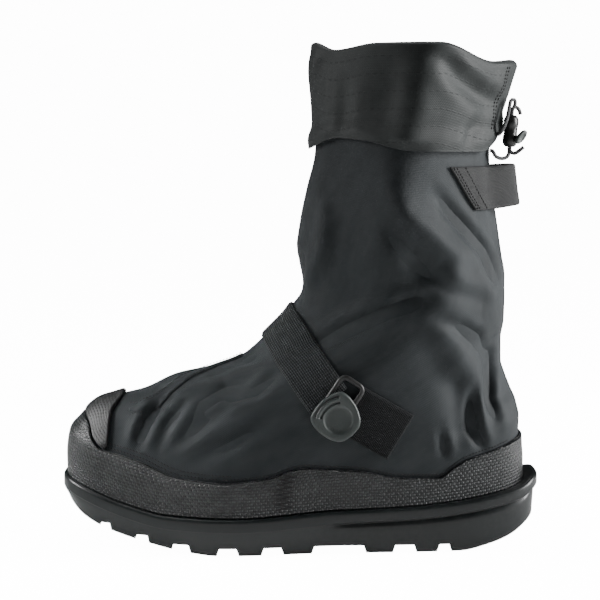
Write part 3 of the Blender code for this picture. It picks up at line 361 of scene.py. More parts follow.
# Levels above the rand over which the folds and the creases grow, and the widths over which they fade
# at the boot's middle plane
FOLD_LEVELS = 1.5
CREASE_LEVELS = 0.8
FOLD_FADE = 0.15 * BALL_WIDTH
CREASE_FADE = 0.10 * BALL_WIDTH
# A crease's ends, where it has faded out; the places, reach and swell of its two banks, in widths
CREASE_END = 0.06
LEANING_BANK = 1.5
OTHER_BANK = -1.7
OTHER_SWELL = 0.35
BANK_REACH = 2.4
# Where the toe cap starts over the rand's edge, and the least and most levels from there to its rear edge
TOE_CAP_START = 0.8 * MM
TOE_CAP_LEAST = 0.3
TOE_CAP_MOST = 4.0
# How far the straps and the vamp seam lie off the cloth, and the turn over which the closure strap
# stands off it as a loop
STRAP_LIFT = SOFT_GAP * 1.8
TAB_LIFT = SOFT_GAP * 1.5
CLOSURE_LIFT = SOFT_GAP * 1.5
VAMP_SEAM_LIFT = SOFT_GAP * 0.3
CLOSURE_LOOP_TURN = 0.052
# How far the stitches of the shaft and the cuff stand off their cloth
STITCH_RISE = 0.2 * MM


def hermite(t, span, low, high, low_slope, high_slope):
    """A cubic over one span, t from 0 to 1, between two values and their slopes."""
    return (
        (2 * t**3 - 3 * t**2 + 1) * low
        + (t**3 - 2 * t**2 + t) * span * low_slope
        + (3 * t**2 - 2 * t**3) * high
        + (t**3 - t**2) * span * high_slope
    )


def middle_slope(before, after):
    """The slope where two spans meet, 0 at a peak, so that the curve has no overshoot."""
    same_way = before * after > 0
    return np.where(same_way, 2 * before * after / np.where(same_way, before + after, 1), 0)


def curve(places, values, x):
    """A smooth value at x through the values at places, level beyond the ends.

    The values are numbers, or arrays that broadcast with x."""
    places, x = np.asarray(places, float), np.asarray(x, float)
    values = [np.asarray(value, float) for value in values]
    last = len(places) - 1
    rise = [(values[k + 1] - values[k]) / (places[k + 1] - places[k]) for k in range(last)]
    slopes = [rise[0], *(middle_slope(a, b) for a, b in zip(rise, rise[1:])), rise[-1]]
    if not any(value.ndim for value in values):
        values, slopes = np.array(values), np.array(slopes)
        k = np.clip(np.searchsorted(places, x, side="right") - 1, 0, last - 1)
        span = places[k + 1] - places[k]
        t = np.clip((x - places[k]) / span, 0, 1)
        return hermite(t, span, values[k], values[k + 1], slopes[k], slopes[k + 1])
    result = values[0] + 0 * x
    for k in range(last):
        span = places[k + 1] - places[k]
        t = np.clip((x - places[k]) / span, 0, 1)
        value = hermite(t, span, values[k], values[k + 1], slopes[k], slopes[k + 1])
        result = np.where(x > places[k], value, result)
    return result


def table(rows, x, column=1):
    """A smooth value at x through the rows of a table of (place, value, ...)."""
    return curve([row[0] for row in rows], [row[column] for row in rows], x)


def lerp(a, b, share):
    return a + (b - a) * share


def ease(x):
    """0 to 1 with level ends as x goes from 0 to 1."""
    x = np.clip(x, 0, 1)
    return x * x * (3 - 2 * x)


def bell(x):
    return np.exp(-x * x)


def sole_top(x):
    place = np.asarray(x) / SOLE_LENGTH
    return SOLE_THICKNESS + table(TOP_LINE, place, 1) * TOE_LIFT + table(TOP_LINE, place, 2) * HEEL_LIFT


def tread_bottom(x):
    place = np.asarray(x) / SOLE_LENGTH
    return table(TREAD_LINE, place, 1) * TOE_SPRING + table(TREAD_LINE, place, 2) * HEEL_ROCKER


def ring_height(value):
    value = np.asarray(value, float)
    return np.where(value <= 1, value * INSTEP_RISE, INSTEP_RISE + (value - 1) * SHAFT_RISE)


def ring_at(level):
    return Ring(*(curve(list(range(len(RINGS))), list(column), level) for column in zip(*RINGS)))


def ring_plan(ring, turn, inset=0.0):
    """x, y and the share of the ring's length at a turn, which is 0 in front and 0.25 on the outer side."""
    angle = 2 * math.pi * np.asarray(turn, float)
    share = (1 - np.cos(angle)) / 2
    front = ring.front * SOLE_LENGTH + inset
    back = ring.back * SOLE_LENGTH - inset
    power = lerp(ring.front_power, ring.back_power, share * share * (3 - 2 * share))
    widths = []
    for station, width in zip(STATIONS, (ring.w1, ring.w2, ring.w3, ring.w4)):
        widths.append((width * BALL_WIDTH - inset) / (2 * math.sqrt(station * (1 - station))) ** power)
    half = curve(STATIONS, widths, share) * np.abs(np.sin(angle)) ** power
    x = lerp(front, back, share)
    y = table(SWING, x / SOLE_LENGTH) * BALL_WIDTH - np.copysign(half, np.sin(angle))
    return x, y, share


def plain_form(level, turn):
    """Points of the boot's outer surface before its folds, in an array whose last axis is x, y, z."""
    ring = ring_at(level)
    x, y, share = ring_plan(ring, turn)
    heights = [ring_height(h) for h in (ring.z0, ring.z1, ring.z2, ring.z3, ring.z4, ring.z5)]
    rise = curve((0.0, *STATIONS, 1.0), heights, share)
    z = rise + lerp(SOLE_THICKNESS, sole_top(x), ring.follow)
    return np.stack(np.broadcast_arrays(x, y, z), -1)


def unit(vectors):
    return vectors / np.maximum(np.linalg.norm(vectors, axis=-1, keepdims=True), 1e-12)


def plain_normal(level, turn):
    above = plain_form(np.minimum(level + LEVEL_STEP, COLLAR), turn)
    below = plain_form(np.maximum(level - LEVEL_STEP, 0), turn)
    round_it = plain_form(level, turn + TURN_STEP) - plain_form(level, turn - TURN_STEP)
    return unit(np.cross(round_it, above - below))


def halving(low, high, below, rounds):
    """The value from low to high up to which below holds, found by halving."""
    for _ in range(rounds):
        middle = (low + high) / 2
        under = below(middle)
        low, high = np.where(under, middle, low), np.where(under, high, middle)
    return low


def level_at(turn, height):
    """The level at which the boot's surface stands at a height, at a turn."""
    turn, height = np.broadcast_arrays(np.asarray(turn, float), np.asarray(height, float))
    low, high = np.zeros(turn.shape), np.full(turn.shape, float(COLLAR))
    return halving(low, high, lambda level: plain_form(level, turn)[..., 2] < height, 18)


def rand_edge(turn):
    base = plain_form(0, turn)
    return base[..., 2] + table(RAND_EDGE, base[..., 0] / SOLE_LENGTH) * INSTEP_RISE


def fold_depth(points):
    """How far the boot's main folds, which the solids have too, push the cloth out."""
    total = np.zeros(points.shape[:-1])
    for fold in FOLDS:
        ax, az = fold.x0 * SOLE_LENGTH, SOLE_THICKNESS + ring_height(fold.z0)
        bx, bz = fold.x1 * SOLE_LENGTH, SOLE_THICKNESS + ring_height(fold.z1)
        dx, dz = bx - ax, bz - az
        along = np.clip(((points[..., 0] - ax) * dx + (points[..., 2] - az) * dz) / (dx * dx + dz * dz), 0, 1)
        away = np.hypot(points[..., 0] - ax - along * dx, points[..., 2] - az - along * dz)
        here = np.where(points[..., 1] * fold.side > 0, 1, 0)
        total += here * fold.depth * BALL_WIDTH * bell(away / (fold.reach * INSTEP_RISE))
    return total * np.minimum(np.abs(points[..., 1]) / FOLD_FADE, 1)


def crease_depth(points, creases):
    """How far the cloth's smaller creases push it out, in metres.

    Each is a trough along a line of the side view, and a negative depth makes it a ridge. One of its
    banks swells by its lean and the other a little."""
    total = np.zeros(points.shape[:-1])
    for side, depth, width, lean, line in creases:
        best = np.full(total.shape, np.inf)
        signed = np.zeros(total.shape)
        ends = np.zeros(total.shape)
        count = len(line) - 1
        for k in range(count):
            (ax, az), (bx, bz) = [(x * MM, z * MM) for x, z in line[k : k + 2]]
            dx, dz = bx - ax, bz - az
            length = math.hypot(dx, dz)
            from_x, from_z = points[..., 0] - ax, points[..., 2] - az
            along = np.clip((from_x * dx + from_z * dz) / length**2, 0, 1)
            px, pz = from_x - along * dx, from_z - along * dz
            away = np.hypot(px, pz)
            nearer = away < best
            best = np.where(nearer, away, best)
            signed = np.where(nearer, (dx * pz - dz * px) / length, signed)
            ends = np.where(nearer, (k + along) / count, ends)
        fade = np.sin(np.pi * (CREASE_END + (1 - 2 * CREASE_END) * ends)) ** 0.6
        reach = best / (width * MM)
        across = signed / (width * MM)
        banks = lean * bell(across - LEANING_BANK) + OTHER_SWELL * bell(across - OTHER_BANK)
        shape = banks * bell(reach / BANK_REACH) - bell(reach)
        if side:
            shape = shape * np.where(points[..., 1] * side > 0, 1, 0)
            shape = shape * np.minimum(np.abs(points[..., 1]) / CREASE_FADE, 1)
        total += shape * fade * depth * MM
    return total


def skin(level, turn, offset=0.0, creases=()):
    """Points at an offset outside the upper's outer surface, with its folds above the rand."""
    points = plain_form(level, turn)
    above = np.asarray(level, float) - RAND_TOP
    push = offset + np.clip(above / FOLD_LEVELS, 0, 1) * fold_depth(points)
    if creases:
        push = push + np.clip(above / CREASE_LEVELS, 0, 1) * crease_depth(points, creases)
    push = np.broadcast_to(push, points.shape[:-1])
    return points + plain_normal(level, turn) * push[..., None]


def new_mesh(name, points, faces):
    mesh = bpy.data.meshes.new(name)
    mesh.from_pydata(points, [], faces)
    mesh.shade_smooth()
    return mesh


def grid_quads(rows, width, across):
    """The corners of so many quads in each row of a grid, where a row's last point leads to its first."""
    r, c = np.meshgrid(np.arange(rows - 1), np.arange(across), indexing="ij")
    d = (c + 1) % width
    low, high = r * width, (r + 1) * width
    return np.stack([low + c, low + d, high + d, high + c], -1).reshape(-1, 4)


def grid_mesh(name, points, uv=None):
    """A mesh through a grid of points, each of whose rows closes on itself."""
    rows, columns = points.shape[:2]
    mesh = new_mesh(name, points.reshape(-1, 3).tolist(), grid_quads(rows, columns, columns).tolist())
    if uv is not None:
        u, v = uv
        wide = np.concatenate([u, u[:, -1:] + (u[:, -1:] - u[:, -2:-1])], 1)
        tall = np.concatenate([v, v[:, :1]], 1)
        flat = grid_quads(rows, columns + 1, columns).reshape(-1)
        layer = mesh.uv_layers.new(name="cloth")
        pairs = np.stack([wide.reshape(-1)[flat], tall.reshape(-1)[flat]], -1)
        layer.data.foreach_set("uv", pairs.astype(np.float32).reshape(-1))
    return mesh


# The cloth's creases in millimetres, a row each: the side (-1 outer, 1 inner, 0 both), depth, width,
# how far the bank beyond swells, and the line in the side view
CREASES = (
    (-1, 4.2, 6.0, 0.8, ((8, 138), (30, 150), (58, 163), (86, 171))),
    (-1, -5.0, 15.0, 0.2, ((69, 268), (66, 246), (68, 230), (86, 214), (101, 196), (98, 174))),
    (-1, -4.0, 7.5, 0.0, ((65, 236), (70, 225), (85, 213), (100, 199), (102, 180))),
    (-1, -4.5, 6.0, 0.0, ((14, 240), (17, 222), (15, 204), (9, 188), (4, 172))),
    (-1, 3.4, 5.0, 0.8, ((90, 238), (104, 222), (122, 200), (134, 176))),
    (-1, 2.4, 6.0, 0.7, ((60, 214), (74, 196), (96, 178), (120, 168))),
    (-1, 2.6, 5.5, 0.7, ((90, 158), (106, 150), (118, 142), (128, 128))),
    (-1, 4.8, 4.2, 0.9, ((116, 106), (115.5, 94), (117, 82), (122, 70))),
    (-1, 4.8, 4.2, 0.9, ((130, 130), (129, 116), (128, 102), (131, 90))),
    (-1, 2.6, 3.4, 0.9, ((94, 81), (95.5, 72), (97, 62))),
    (-1, -4.0, 10.0, 0.3, ((90, 155), (102, 135), (113, 117), (116, 104))),
    (-1, 5.0, 4.2, 0.9, ((-109, 72), (-104, 84), (-96, 97))),
    (-1, 2.8, 4.2, 0.8, ((-94, 72), (-88, 86), (-77, 100), (-61, 112))),
    (-1, 4.0, 6.0, 0.9, ((-74, 86), (-66, 98), (-50, 110), (-33, 115))),
    (-1, 2.2, 4.5, 0.8, ((-50, 125), (-38, 128), (-28, 131))),
    (-1, 2.0, 5.0, 0.8, ((-84, 72), (-68, 84), (-52, 96), (-38, 110))),
    (-1, 2.8, 4.5, 0.9, ((-44, 104), (-30, 108), (-16, 120))),
    (-1, 1.8, 5.5, 0.6, ((-66, 66), (-46, 74), (-22, 88))),
    (0, 3.0, 4.0, 0.8, ((-2, 170), (0, 184), (-1, 198))),
    (1, 3.4, 6.0, 0.8, ((10, 140), (34, 150), (60, 158), (84, 170))),
    (1, -4.0, 12.0, 0.2, ((60, 262), (58, 238), (66, 212), (84, 190))),
    (1, 2.6, 5.5, 0.8, ((96, 232), (108, 212), (122, 192), (130, 172))),
    (1, 4.0, 4.5, 0.9, ((112, 112), (114, 98), (116, 84), (121, 72))),
    (1, 3.2, 4.5, 0.9, ((130, 126), (129, 112), (128, 98), (131, 88))),
    (1, 2.8, 6.0, 0.8, ((-72, 84), (-62, 98), (-46, 110), (-28, 118))),
    (1, 2.2, 5.0, 0.8, ((-96, 74), (-86, 88), (-72, 100), (-56, 110))),
    (1, 2.4, 5.0, 0.8, ((-30, 92), (-16, 104), (-4, 118), (6, 130))),
)
CUFF_CREASES = (
    (-1, -4.5, 12.0, 0.3, ((66, 256), (68, 275), (73, 300), (76, 328))),
    (-1, 4.5, 8.0, 0.8, ((92, 328), (104, 314), (118, 304), (132, 298))),
    (-1, 1.4, 5.0, 0.5, ((24, 262), (28, 284), (30, 312))),
    (-1, 1.5, 5.0, 0.5, ((108, 262), (112, 280), (122, 292))),
    (0, -2.2, 4.5, 0.6, ((12, 338), (9, 326), (6, 312), (4, 296))),
    (1, -3.5, 11.0, 0.3, ((58, 256), (62, 280), (66, 304), (70, 328))),
    (1, 2.6, 7.0, 0.7, ((94, 326), (110, 312), (126, 300))),
)


# How far the threads, ribs, rows and grain of the finishes stand out
WEAVE_HEIGHT = 0.16 * MM
RIPSTOP_HEIGHT = 0.22 * MM
EMBOSS_HEIGHT = 0.4 * MM
RUBBER_GRAIN = 0.12 * MM
WEBBING_HEIGHT = 0.28 * MM
PLASTIC_GRAIN = 0.1 * MM
BRAID_HEIGHT = 0.2 * MM
# Their pitches, and the width of the ripstop's lines
EMBOSS_PITCH = 2.1 * MM
RIPSTOP_PITCH = 11.3 * MM
RIPSTOP_LINE = 0.5 * MM
RIPSTOP_DASH = 5.2 * MM
RIPSTOP_RIB = 1.6 * MM
BRAID_PITCH = 1.1 * MM
CLOTH_SPECULAR = 0.18
EMBOSSED_SPECULAR = 0.50
RUBBER_SPECULAR = 0.38


class Nodes:
    """A node tree with short ways to add nodes and join them."""

    def __init__(self, tree):
        self.tree = tree

    def add(self, kind, **settings):
        node = self.tree.nodes.new(kind)
        for name, value in settings.items():
            setattr(node, name, value)
        return node

    def link(self, source, target):
        self.tree.links.new(source, target)

    def feed(self, target, value):
        """A socket's value, or the socket that feeds it."""
        if isinstance(value, bpy.types.NodeSocket):
            self.link(value, target)
        else:
            target.default_value = value

    def math(self, operation, *values, clamp=False):
        node = self.add("ShaderNodeMath", operation=operation, use_clamp=clamp)
        for socket, value in zip(node.inputs, values):
            self.feed(socket, value)
        return node.outputs[0]

    def times(self, a, b):
        return self.math("MULTIPLY", a, b)

    def plus(self, a, b, clamp=False):
        return self.math("ADD", a, b, clamp=clamp)

    def wave(self, value, length):
        """A sine wave along a value, one turn in each length."""
        return self.math("SINE", self.times(value, 2 * math.pi / length))

    def parts(self, vector):
        """The x, y and z of a vector."""
        node = self.add("ShaderNodeSeparateXYZ")
        self.link(vector, node.inputs[0])
        return node.outputs

    def spread(self, value, low, high, to_low=0.0, to_high=1.0):
        """A value taken from one range to another, held at its ends."""
        node = self.add("ShaderNodeMapRange", clamp=True)
        names = ("Value", "From Min", "From Max", "To Min", "To Max")
        for name, item in zip(names, (value, low, high, to_low, to_high)):
            self.feed(node.inputs[name], item)
        return node.outputs[0]

    def noise(self, place, scale, detail=2.0, roughness=0.5):
        node = self.add("ShaderNodeTexNoise")
        self.feed(node.inputs["Vector"], place)
        node.inputs["Scale"].default_value = scale
        node.inputs["Detail"].default_value = detail
        node.inputs["Roughness"].default_value = roughness
        return node.outputs[0]

    def colour(self, shader, share, dark, light):
        """The shader's colour, from a dark tone to a light one by a share."""
        node = self.add("ShaderNodeMix", data_type="RGBA")
        self.feed(node.inputs[0], share)
        self.feed(node.inputs[6], (*dark, 1))
        self.feed(node.inputs[7], (*light, 1))
        self.link(node.outputs[2], shader["Base Color"])

    def relief(self, shader, height, distance, strength):
        """The shader's normal, from a height which stands out by a distance."""
        node = self.add("ShaderNodeBump")
        self.feed(node.inputs["Height"], height)
        node.inputs["Distance"].default_value = distance
        node.inputs["Strength"].default_value = strength
        self.link(node.outputs[0], shader["Normal"])


def node_group(name, inputs, outputs):
    """A shader node group with named sockets: (name, kind, value) for inputs and (name, kind) for outputs."""
    tree = bpy.data.node_groups.new(name, "ShaderNodeTree")
    for socket_name, kind, value in inputs:
        socket = tree.interface.new_socket(socket_name, in_out="INPUT", socket_type=kind)
        if value is not None:
            socket.default_value = value
    for socket_name, kind in outputs:
        tree.interface.new_socket(socket_name, in_out="OUTPUT", socket_type=kind)
    nodes = Nodes(tree)
    return tree, nodes, nodes.add("NodeGroupInput").outputs, nodes.add("NodeGroupOutput").inputs


def weave_group():
    """Plain weave on a flat cloth: the threads' height, and how worn or faded each place is."""
    tree, nodes, given, out = node_group(
        "plain_weave",
        (("Place", "NodeSocketVector", None), ("Threads", "NodeSocketFloat", 1500.0)),
        (("Height", "NodeSocketFloat"), ("Wear", "NodeSocketFloat")),
    )
    parts = nodes.parts(given["Place"])
    waves = [nodes.math("SINE", nodes.times(parts[axis], given["Threads"])) for axis in (0, 1)]
    slub = nodes.noise(given["Place"], 900.0, 2.0, 0.6)
    nodes.link(nodes.plus(nodes.times(waves[0], waves[1]), nodes.times(slub, 0.8)), out["Height"])
    broad = nodes.noise(given["Place"], 26.0, 3.0, 0.55)
    nodes.link(nodes.spread(broad, 0.35, 0.70), out["Wear"])
    return tree


def emboss_group():
    """Rows of small raised oblongs, as pressed into the rubber, and a painted glint on their tops."""
    tree, nodes, given, out = node_group(
        "embossed_rows",
        (("Place", "NodeSocketVector", None), ("Pitch", "NodeSocketFloat", EMBOSS_PITCH)),
        (("Height", "NodeSocketFloat"), ("Painted glint", "NodeSocketFloat")),
    )
    parts = nodes.parts(given["Place"])
    row = nodes.math("DIVIDE", parts[1], given["Pitch"])
    number = nodes.math("FLOOR", row)
    shift = nodes.times(nodes.math("MODULO", number, 2.0), 0.5)
    column = nodes.math("DIVIDE", parts[0], nodes.times(given["Pitch"], 1.5))
    column = nodes.plus(column, shift)
    heights = []
    for value, low, high in ((row, 0.10, 0.32), (column, 0.06, 0.24)):
        part = nodes.math("FRACT", value)
        nearest = nodes.math("MINIMUM", part, nodes.math("SUBTRACT", 1.0, part))
        heights.append(nodes.spread(nearest, low, high))
    pad = nodes.times(heights[0], heights[1])
    grain = nodes.noise(given["Place"], 2200.0, 2.0, 0.6)
    nodes.link(nodes.plus(pad, nodes.times(grain, 0.35)), out["Height"])
    # The painted glint: each raised oblong lighter by a random amount, the gaps between them left dark as
    # painted shade.
    cell = nodes.add("ShaderNodeCombineXYZ")
    nodes.link(nodes.math("FLOOR", column), cell.inputs[0])
    nodes.link(number, cell.inputs[1])
    speckle = nodes.add("ShaderNodeTexWhiteNoise", noise_dimensions="3D")
    nodes.link(cell.outputs[0], speckle.inputs["Vector"])
    nodes.link(nodes.times(pad, speckle.outputs["Value"]), out["Painted glint"])
    return tree


def scuff_group():
    """Faint dust and rubbed places on rubber or plastic, patchy and with short scratches."""
    tree, nodes, given, out = node_group(
        "scuffs",
        (("Place", "NodeSocketVector", None), ("Size", "NodeSocketFloat", 1.0)),
        (("Dust", "NodeSocketFloat"), ("Grain", "NodeSocketFloat")),
    )
    place = nodes.add("ShaderNodeVectorMath", operation="SCALE")
    nodes.link(given["Place"], place.inputs[0])
    nodes.link(given["Size"], place.inputs["Scale"])
    broad = nodes.spread(nodes.noise(place.outputs[0], 18.0, 4.0, 0.6), 0.42, 0.72)
    fine = nodes.spread(nodes.noise(place.outputs[0], 340.0, 3.0, 0.7), 0.35, 0.75)
    nodes.link(nodes.math("MULTIPLY", broad, fine), out["Dust"])
    nodes.link(nodes.noise(place.outputs[0], 1400.0, 3.0, 0.7), out["Grain"])
    return tree


GROUPS = {"weave": weave_group(), "emboss": emboss_group(), "scuff": scuff_group()}


def new_finish(name):
    finish = bpy.data.materials.new(name)
    finish.use_nodes = True
    return finish, Nodes(finish.node_tree), finish.node_tree.nodes["Principled BSDF"].inputs


def flat_place(nodes):
    """The cloth's own flat coordinates in metres."""
    return nodes.add("ShaderNodeUVMap", uv_map="cloth").outputs[0]


def object_place(nodes):
    return nodes.add("ShaderNodeTexCoord").outputs["Object"]


def use_group(nodes, name, **values):
    node = nodes.add("ShaderNodeGroup", node_tree=GROUPS[name])
    for socket_name, value in values.items():
        nodes.feed(node.inputs[socket_name.replace("_", " ").capitalize()], value)
    return node.outputs


def cloth_finish(name, dark, light, roughness, threads, relief, sheen=0.0):
    """A woven cloth: fine threads in relief and a slow change of shade."""
    finish, nodes, shader = new_finish(name)
    weave = use_group(nodes, "weave", place=flat_place(nodes), threads=threads)
    # The threads' crests are painted a little lighter than their hollows: painted highlight and shade in the
    # weave. The wear is a random tone.
    shade = nodes.plus(nodes.times(weave["Height"], 0.12), nodes.times(weave["Wear"], 0.7))
    nodes.colour(shader, nodes.plus(shade, 0.12, clamp=True), dark, light)
    nodes.link(nodes.spread(weave["Wear"], 0.0, 1.0, roughness - 0.04, roughness + 0.05), shader["Roughness"])
    nodes.relief(shader, weave["Height"], WEAVE_HEIGHT, relief)
    shader["Specular IOR Level"].default_value = CLOTH_SPECULAR
    shader["Sheen Weight"].default_value = sheen
    shader["Sheen Roughness"].default_value = 0.45
    return finish


def ripstop_finish():
    """Fine cross ribs with a stronger doubled thread at every grid line."""
    finish, nodes, shader = new_finish("ripstop")
    place = flat_place(nodes)
    weave = use_group(nodes, "weave", place=place, threads=4200.0)
    parts = nodes.parts(place)
    lines = []
    for axis, pitch in ((1, RIPSTOP_PITCH), (0, RIPSTOP_PITCH * 2)):
        part = nodes.math("FRACT", nodes.math("DIVIDE", parts[axis], pitch))
        away = nodes.math("ABSOLUTE", nodes.math("SUBTRACT", part, 0.5))
        lines.append(nodes.spread(away, 0.0, RIPSTOP_LINE / pitch, 1.0, 0.0))
    dash = nodes.spread(nodes.wave(parts[0], RIPSTOP_DASH), -0.5, 0.2)
    grid = nodes.plus(nodes.times(lines[0], dash), nodes.times(lines[1], 0.15), clamp=True)
    height = nodes.plus(nodes.times(nodes.wave(parts[1], RIPSTOP_RIB), 0.16), nodes.times(grid, -1.3))
    height = nodes.plus(height, nodes.times(weave["Height"], 0.3))
    # The grid lines are painted darker, as shade in their grooves. The wear is a random tone.
    shade = nodes.plus(nodes.times(weave["Wear"], 0.8), nodes.times(grid, -0.7), clamp=True)
    nodes.colour(shader, shade, (0.0160, 0.0185, 0.0185), (0.034, 0.0382, 0.0378))
    nodes.link(nodes.spread(weave["Wear"], 0.0, 1.0, 0.50, 0.60), shader["Roughness"])
    nodes.relief(shader, height, RIPSTOP_HEIGHT, 0.55)
    shader["Specular IOR Level"].default_value = CLOTH_SPECULAR
    shader["Sheen Weight"].default_value = 0.04
    return finish


def rubber_finish(name, dark, light, roughness, relief):
    """Black rubber, with its embossed rows where it has relief, and a little dust."""
    finish, nodes, shader = new_finish(name)
    scuff = use_group(nodes, "scuff", place=object_place(nodes))
    shade = nodes.times(scuff["Dust"], 0.55)
    if relief:
        rows = use_group(nodes, "emboss", place=flat_place(nodes))
        # Painted glint on the embossed rows: their raised tops lighter at random, the gaps darker as painted
        # shade; the dust is the rubber's own.
        shade = nodes.plus(shade, nodes.times(rows["Painted glint"], 0.45), clamp=True)
        height = nodes.plus(nodes.times(scuff["Grain"], 0.12), rows["Height"])
        nodes.relief(shader, height, EMBOSS_HEIGHT, relief)
    else:
        nodes.relief(shader, nodes.times(scuff["Grain"], 0.4), RUBBER_GRAIN, 0.25)
    nodes.colour(shader, shade, dark, light)
    nodes.link(nodes.spread(scuff["Dust"], 0.0, 1.0, roughness, roughness + 0.16), shader["Roughness"])
    shader["Specular IOR Level"].default_value = EMBOSSED_SPECULAR if relief else RUBBER_SPECULAR
    return finish


def webbing_finish(name, dark, light, roughness, pitch, relief, fuzz):
    """Narrow webbing: cross ribs of a given pitch, broken by the warp, with a furred surface."""
    finish, nodes, shader = new_finish(name)
    place = flat_place(nodes)
    parts = nodes.parts(place)
    rib, warp = nodes.wave(parts[0], pitch), nodes.wave(parts[1], pitch * 1.3)
    fur = nodes.noise(place, 2600.0, 3.0, 0.7)
    height = nodes.plus(rib, nodes.plus(nodes.times(warp, 0.5), nodes.times(fur, fuzz)))
    # The colour follows the relief: the ribs' crests painted lighter and their hollows darker, as painted
    # highlight and shade, with the fur's noise as a random tone.
    nodes.colour(shader, nodes.spread(height, -0.6, 2.2), dark, light)
    nodes.link(nodes.spread(fur, 0.3, 0.7, roughness - 0.05, roughness + 0.06), shader["Roughness"])
    nodes.relief(shader, height, WEBBING_HEIGHT, relief)
    shader["Specular IOR Level"].default_value = 0.22
    shader["Sheen Weight"].default_value = 0.03
    return finish


def plastic_finish(name, dark, light, roughness):
    finish, nodes, shader = new_finish(name)
    scuff = use_group(nodes, "scuff", place=object_place(nodes), size=2.5)
    nodes.colour(shader, scuff["Dust"], dark, light)
    nodes.link(nodes.spread(scuff["Dust"], 0.0, 1.0, roughness, roughness + 0.14), shader["Roughness"])
    nodes.relief(shader, scuff["Grain"], PLASTIC_GRAIN, 0.3)
    return finish


def cord_finish():
    """Braided black cord, its strands crossing in two ways round it, painted highlight flecks on its crests.
    """
    finish, nodes, shader = new_finish("cord")
    place = object_place(nodes)
    parts = nodes.parts(place)
    waves = []
    for sign in (1.0, -1.0):
        lean = nodes.math("MULTIPLY_ADD", parts[0], sign, parts[2])
        waves.append(nodes.wave(lean, BRAID_PITCH))
    braid = nodes.times(waves[0], waves[1])
    # Lighter where the braid's crests stand highest, a painted highlight, broken into flecks by noise.
    fleck_and_highlight = nodes.spread(nodes.plus(braid, nodes.noise(place, 1500.0, 2.0, 0.6)), 0.45, 1.3)
    nodes.colour(shader, fleck_and_highlight, (0.005, 0.005, 0.006), (0.16, 0.16, 0.165))
    shader["Roughness"].default_value = 0.62
    nodes.relief(shader, braid, BRAID_HEIGHT, 0.6)
    return finish


FINISH = {
    "nylon": cloth_finish(
        "nylon", (0.0125, 0.0155, 0.0172), (0.0315, 0.0362, 0.0390), 0.60, 5600.0, 0.35, 0.04
    ),
    "rand": rubber_finish("rand", (0.0040, 0.0050, 0.0052), (0.040, 0.045, 0.046), 0.34, 1.0),
    "toe": rubber_finish("toe_cap", (0.0085, 0.0090, 0.0092), (0.050, 0.051, 0.051), 0.46, 0.45),
    "sole": rubber_finish("sole", (0.0050, 0.0068, 0.0072), (0.0165, 0.0195, 0.0200), 0.32, 0.0),
    "ripstop": ripstop_finish(),
    "webbing": webbing_finish(
        "webbing", (0.0020, 0.0028, 0.0030), (0.054, 0.062, 0.064), 0.62, 1.5 * MM, 1.0, 0.6
    ),
    "tab": webbing_finish(
        "tab", (0.0004, 0.0009, 0.0012), (0.0055, 0.0072, 0.0082), 0.85, 1.1 * MM, 0.9, 2.2
    ),
    "closure": webbing_finish(
        "closure", (0.0140, 0.0145, 0.0150), (0.042, 0.043, 0.043), 0.55, 0.9 * MM, 0.5, 0.4
    ),
    "lining": cloth_finish("lining", (0.012, 0.012, 0.013), (0.028, 0.028, 0.029), 0.75, 4200.0, 0.3),
    "grey": plastic_finish("grey_plastic", (0.034, 0.042, 0.040), (0.066, 0.076, 0.073), 0.40),
    "black": plastic_finish("black_plastic", (0.0085, 0.0088, 0.0090), (0.022, 0.022, 0.022), 0.34),
    "cord": cord_finish(),
    "thread": plastic_finish("thread", (0.0015, 0.0017, 0.0020), (0.006, 0.006, 0.007), 0.70),
}


def keep(name, mesh, nodes, finish=None):
    """A dressed piece over the solids it stands for."""
    mesh.name = name
    item = linked(name, mesh)
    if finish is not None:
        mesh.materials.append(finish)
    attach(item, "root")
    if nodes:
        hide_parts(*nodes)


def mesh_surface(mesh):
    """A finder of the points where rays meet a mesh."""
    points = [vertex.co for vertex in mesh.vertices]
    return BVHTree.FromPolygons(points, [tuple(face.vertices) for face in mesh.polygons])


def rim_levels(turn, rows):
    """Levels from the sole to the rand's edge at each turn, in rows."""
    top = level_at(turn, rand_edge(turn))
    return np.linspace(0, 1, rows)[:, None] * top[None, :]


def arc_uv(points):
    """Lengths along the rows and up the columns of a grid, for cloth laid flat."""
    across = np.linalg.norm(np.diff(points, axis=1), axis=-1)
    up = np.linalg.norm(np.diff(points, axis=0), axis=-1)
    u = np.concatenate([np.zeros((points.shape[0], 1)), np.cumsum(across, 1)], 1)
    v = np.concatenate([np.zeros((1, points.shape[1])), np.cumsum(up, 0)], 0)
    return u, v


def even_uv(points):
    """Lengths round the middle row for every row, and lengths up each column."""
    u, v = arc_uv(points)
    middle = u[points.shape[0] // 2]
    return np.broadcast_to(middle, u.shape).copy(), v


UPPER_ROWS = 235
UPPER_TURNS = 270


def stand_on_sole(points):
    """Put the lowest row of a wall just over the sole's top."""
    points[0, :, 2] = sole_top(points[0, :, 0]) + GAP


def make_upper_cloth():
    """The shaft's cloth. Returns its outer face alone, for what is laid on it."""
    turn = np.arange(UPPER_TURNS) / UPPER_TURNS
    level = np.linspace(0, COLLAR, UPPER_ROWS)
    outer = skin(level[:, None], turn[None, :], 0.0, CREASES)
    inner_level = np.linspace(0, COLLAR, UPPER_ROWS // 3)
    inner = skin(inner_level[:, None], turn[None, :], -NYLON)
    stand_on_sole(outer)
    stand_on_sole(inner)
    whole = np.concatenate([inner[::-1], outer], 0)
    u, v = even_uv(whole)
    uv = np.concatenate([u, u[-1:]], 0), np.concatenate([v, v[-1:] + NYLON], 0)
    mesh = grid_mesh("upper_cloth", np.concatenate([whole, inner[-1:]], 0), uv)
    keep("upper_cloth", mesh, ("upper",), FINISH["nylon"])
    return grid_mesh("form", outer)


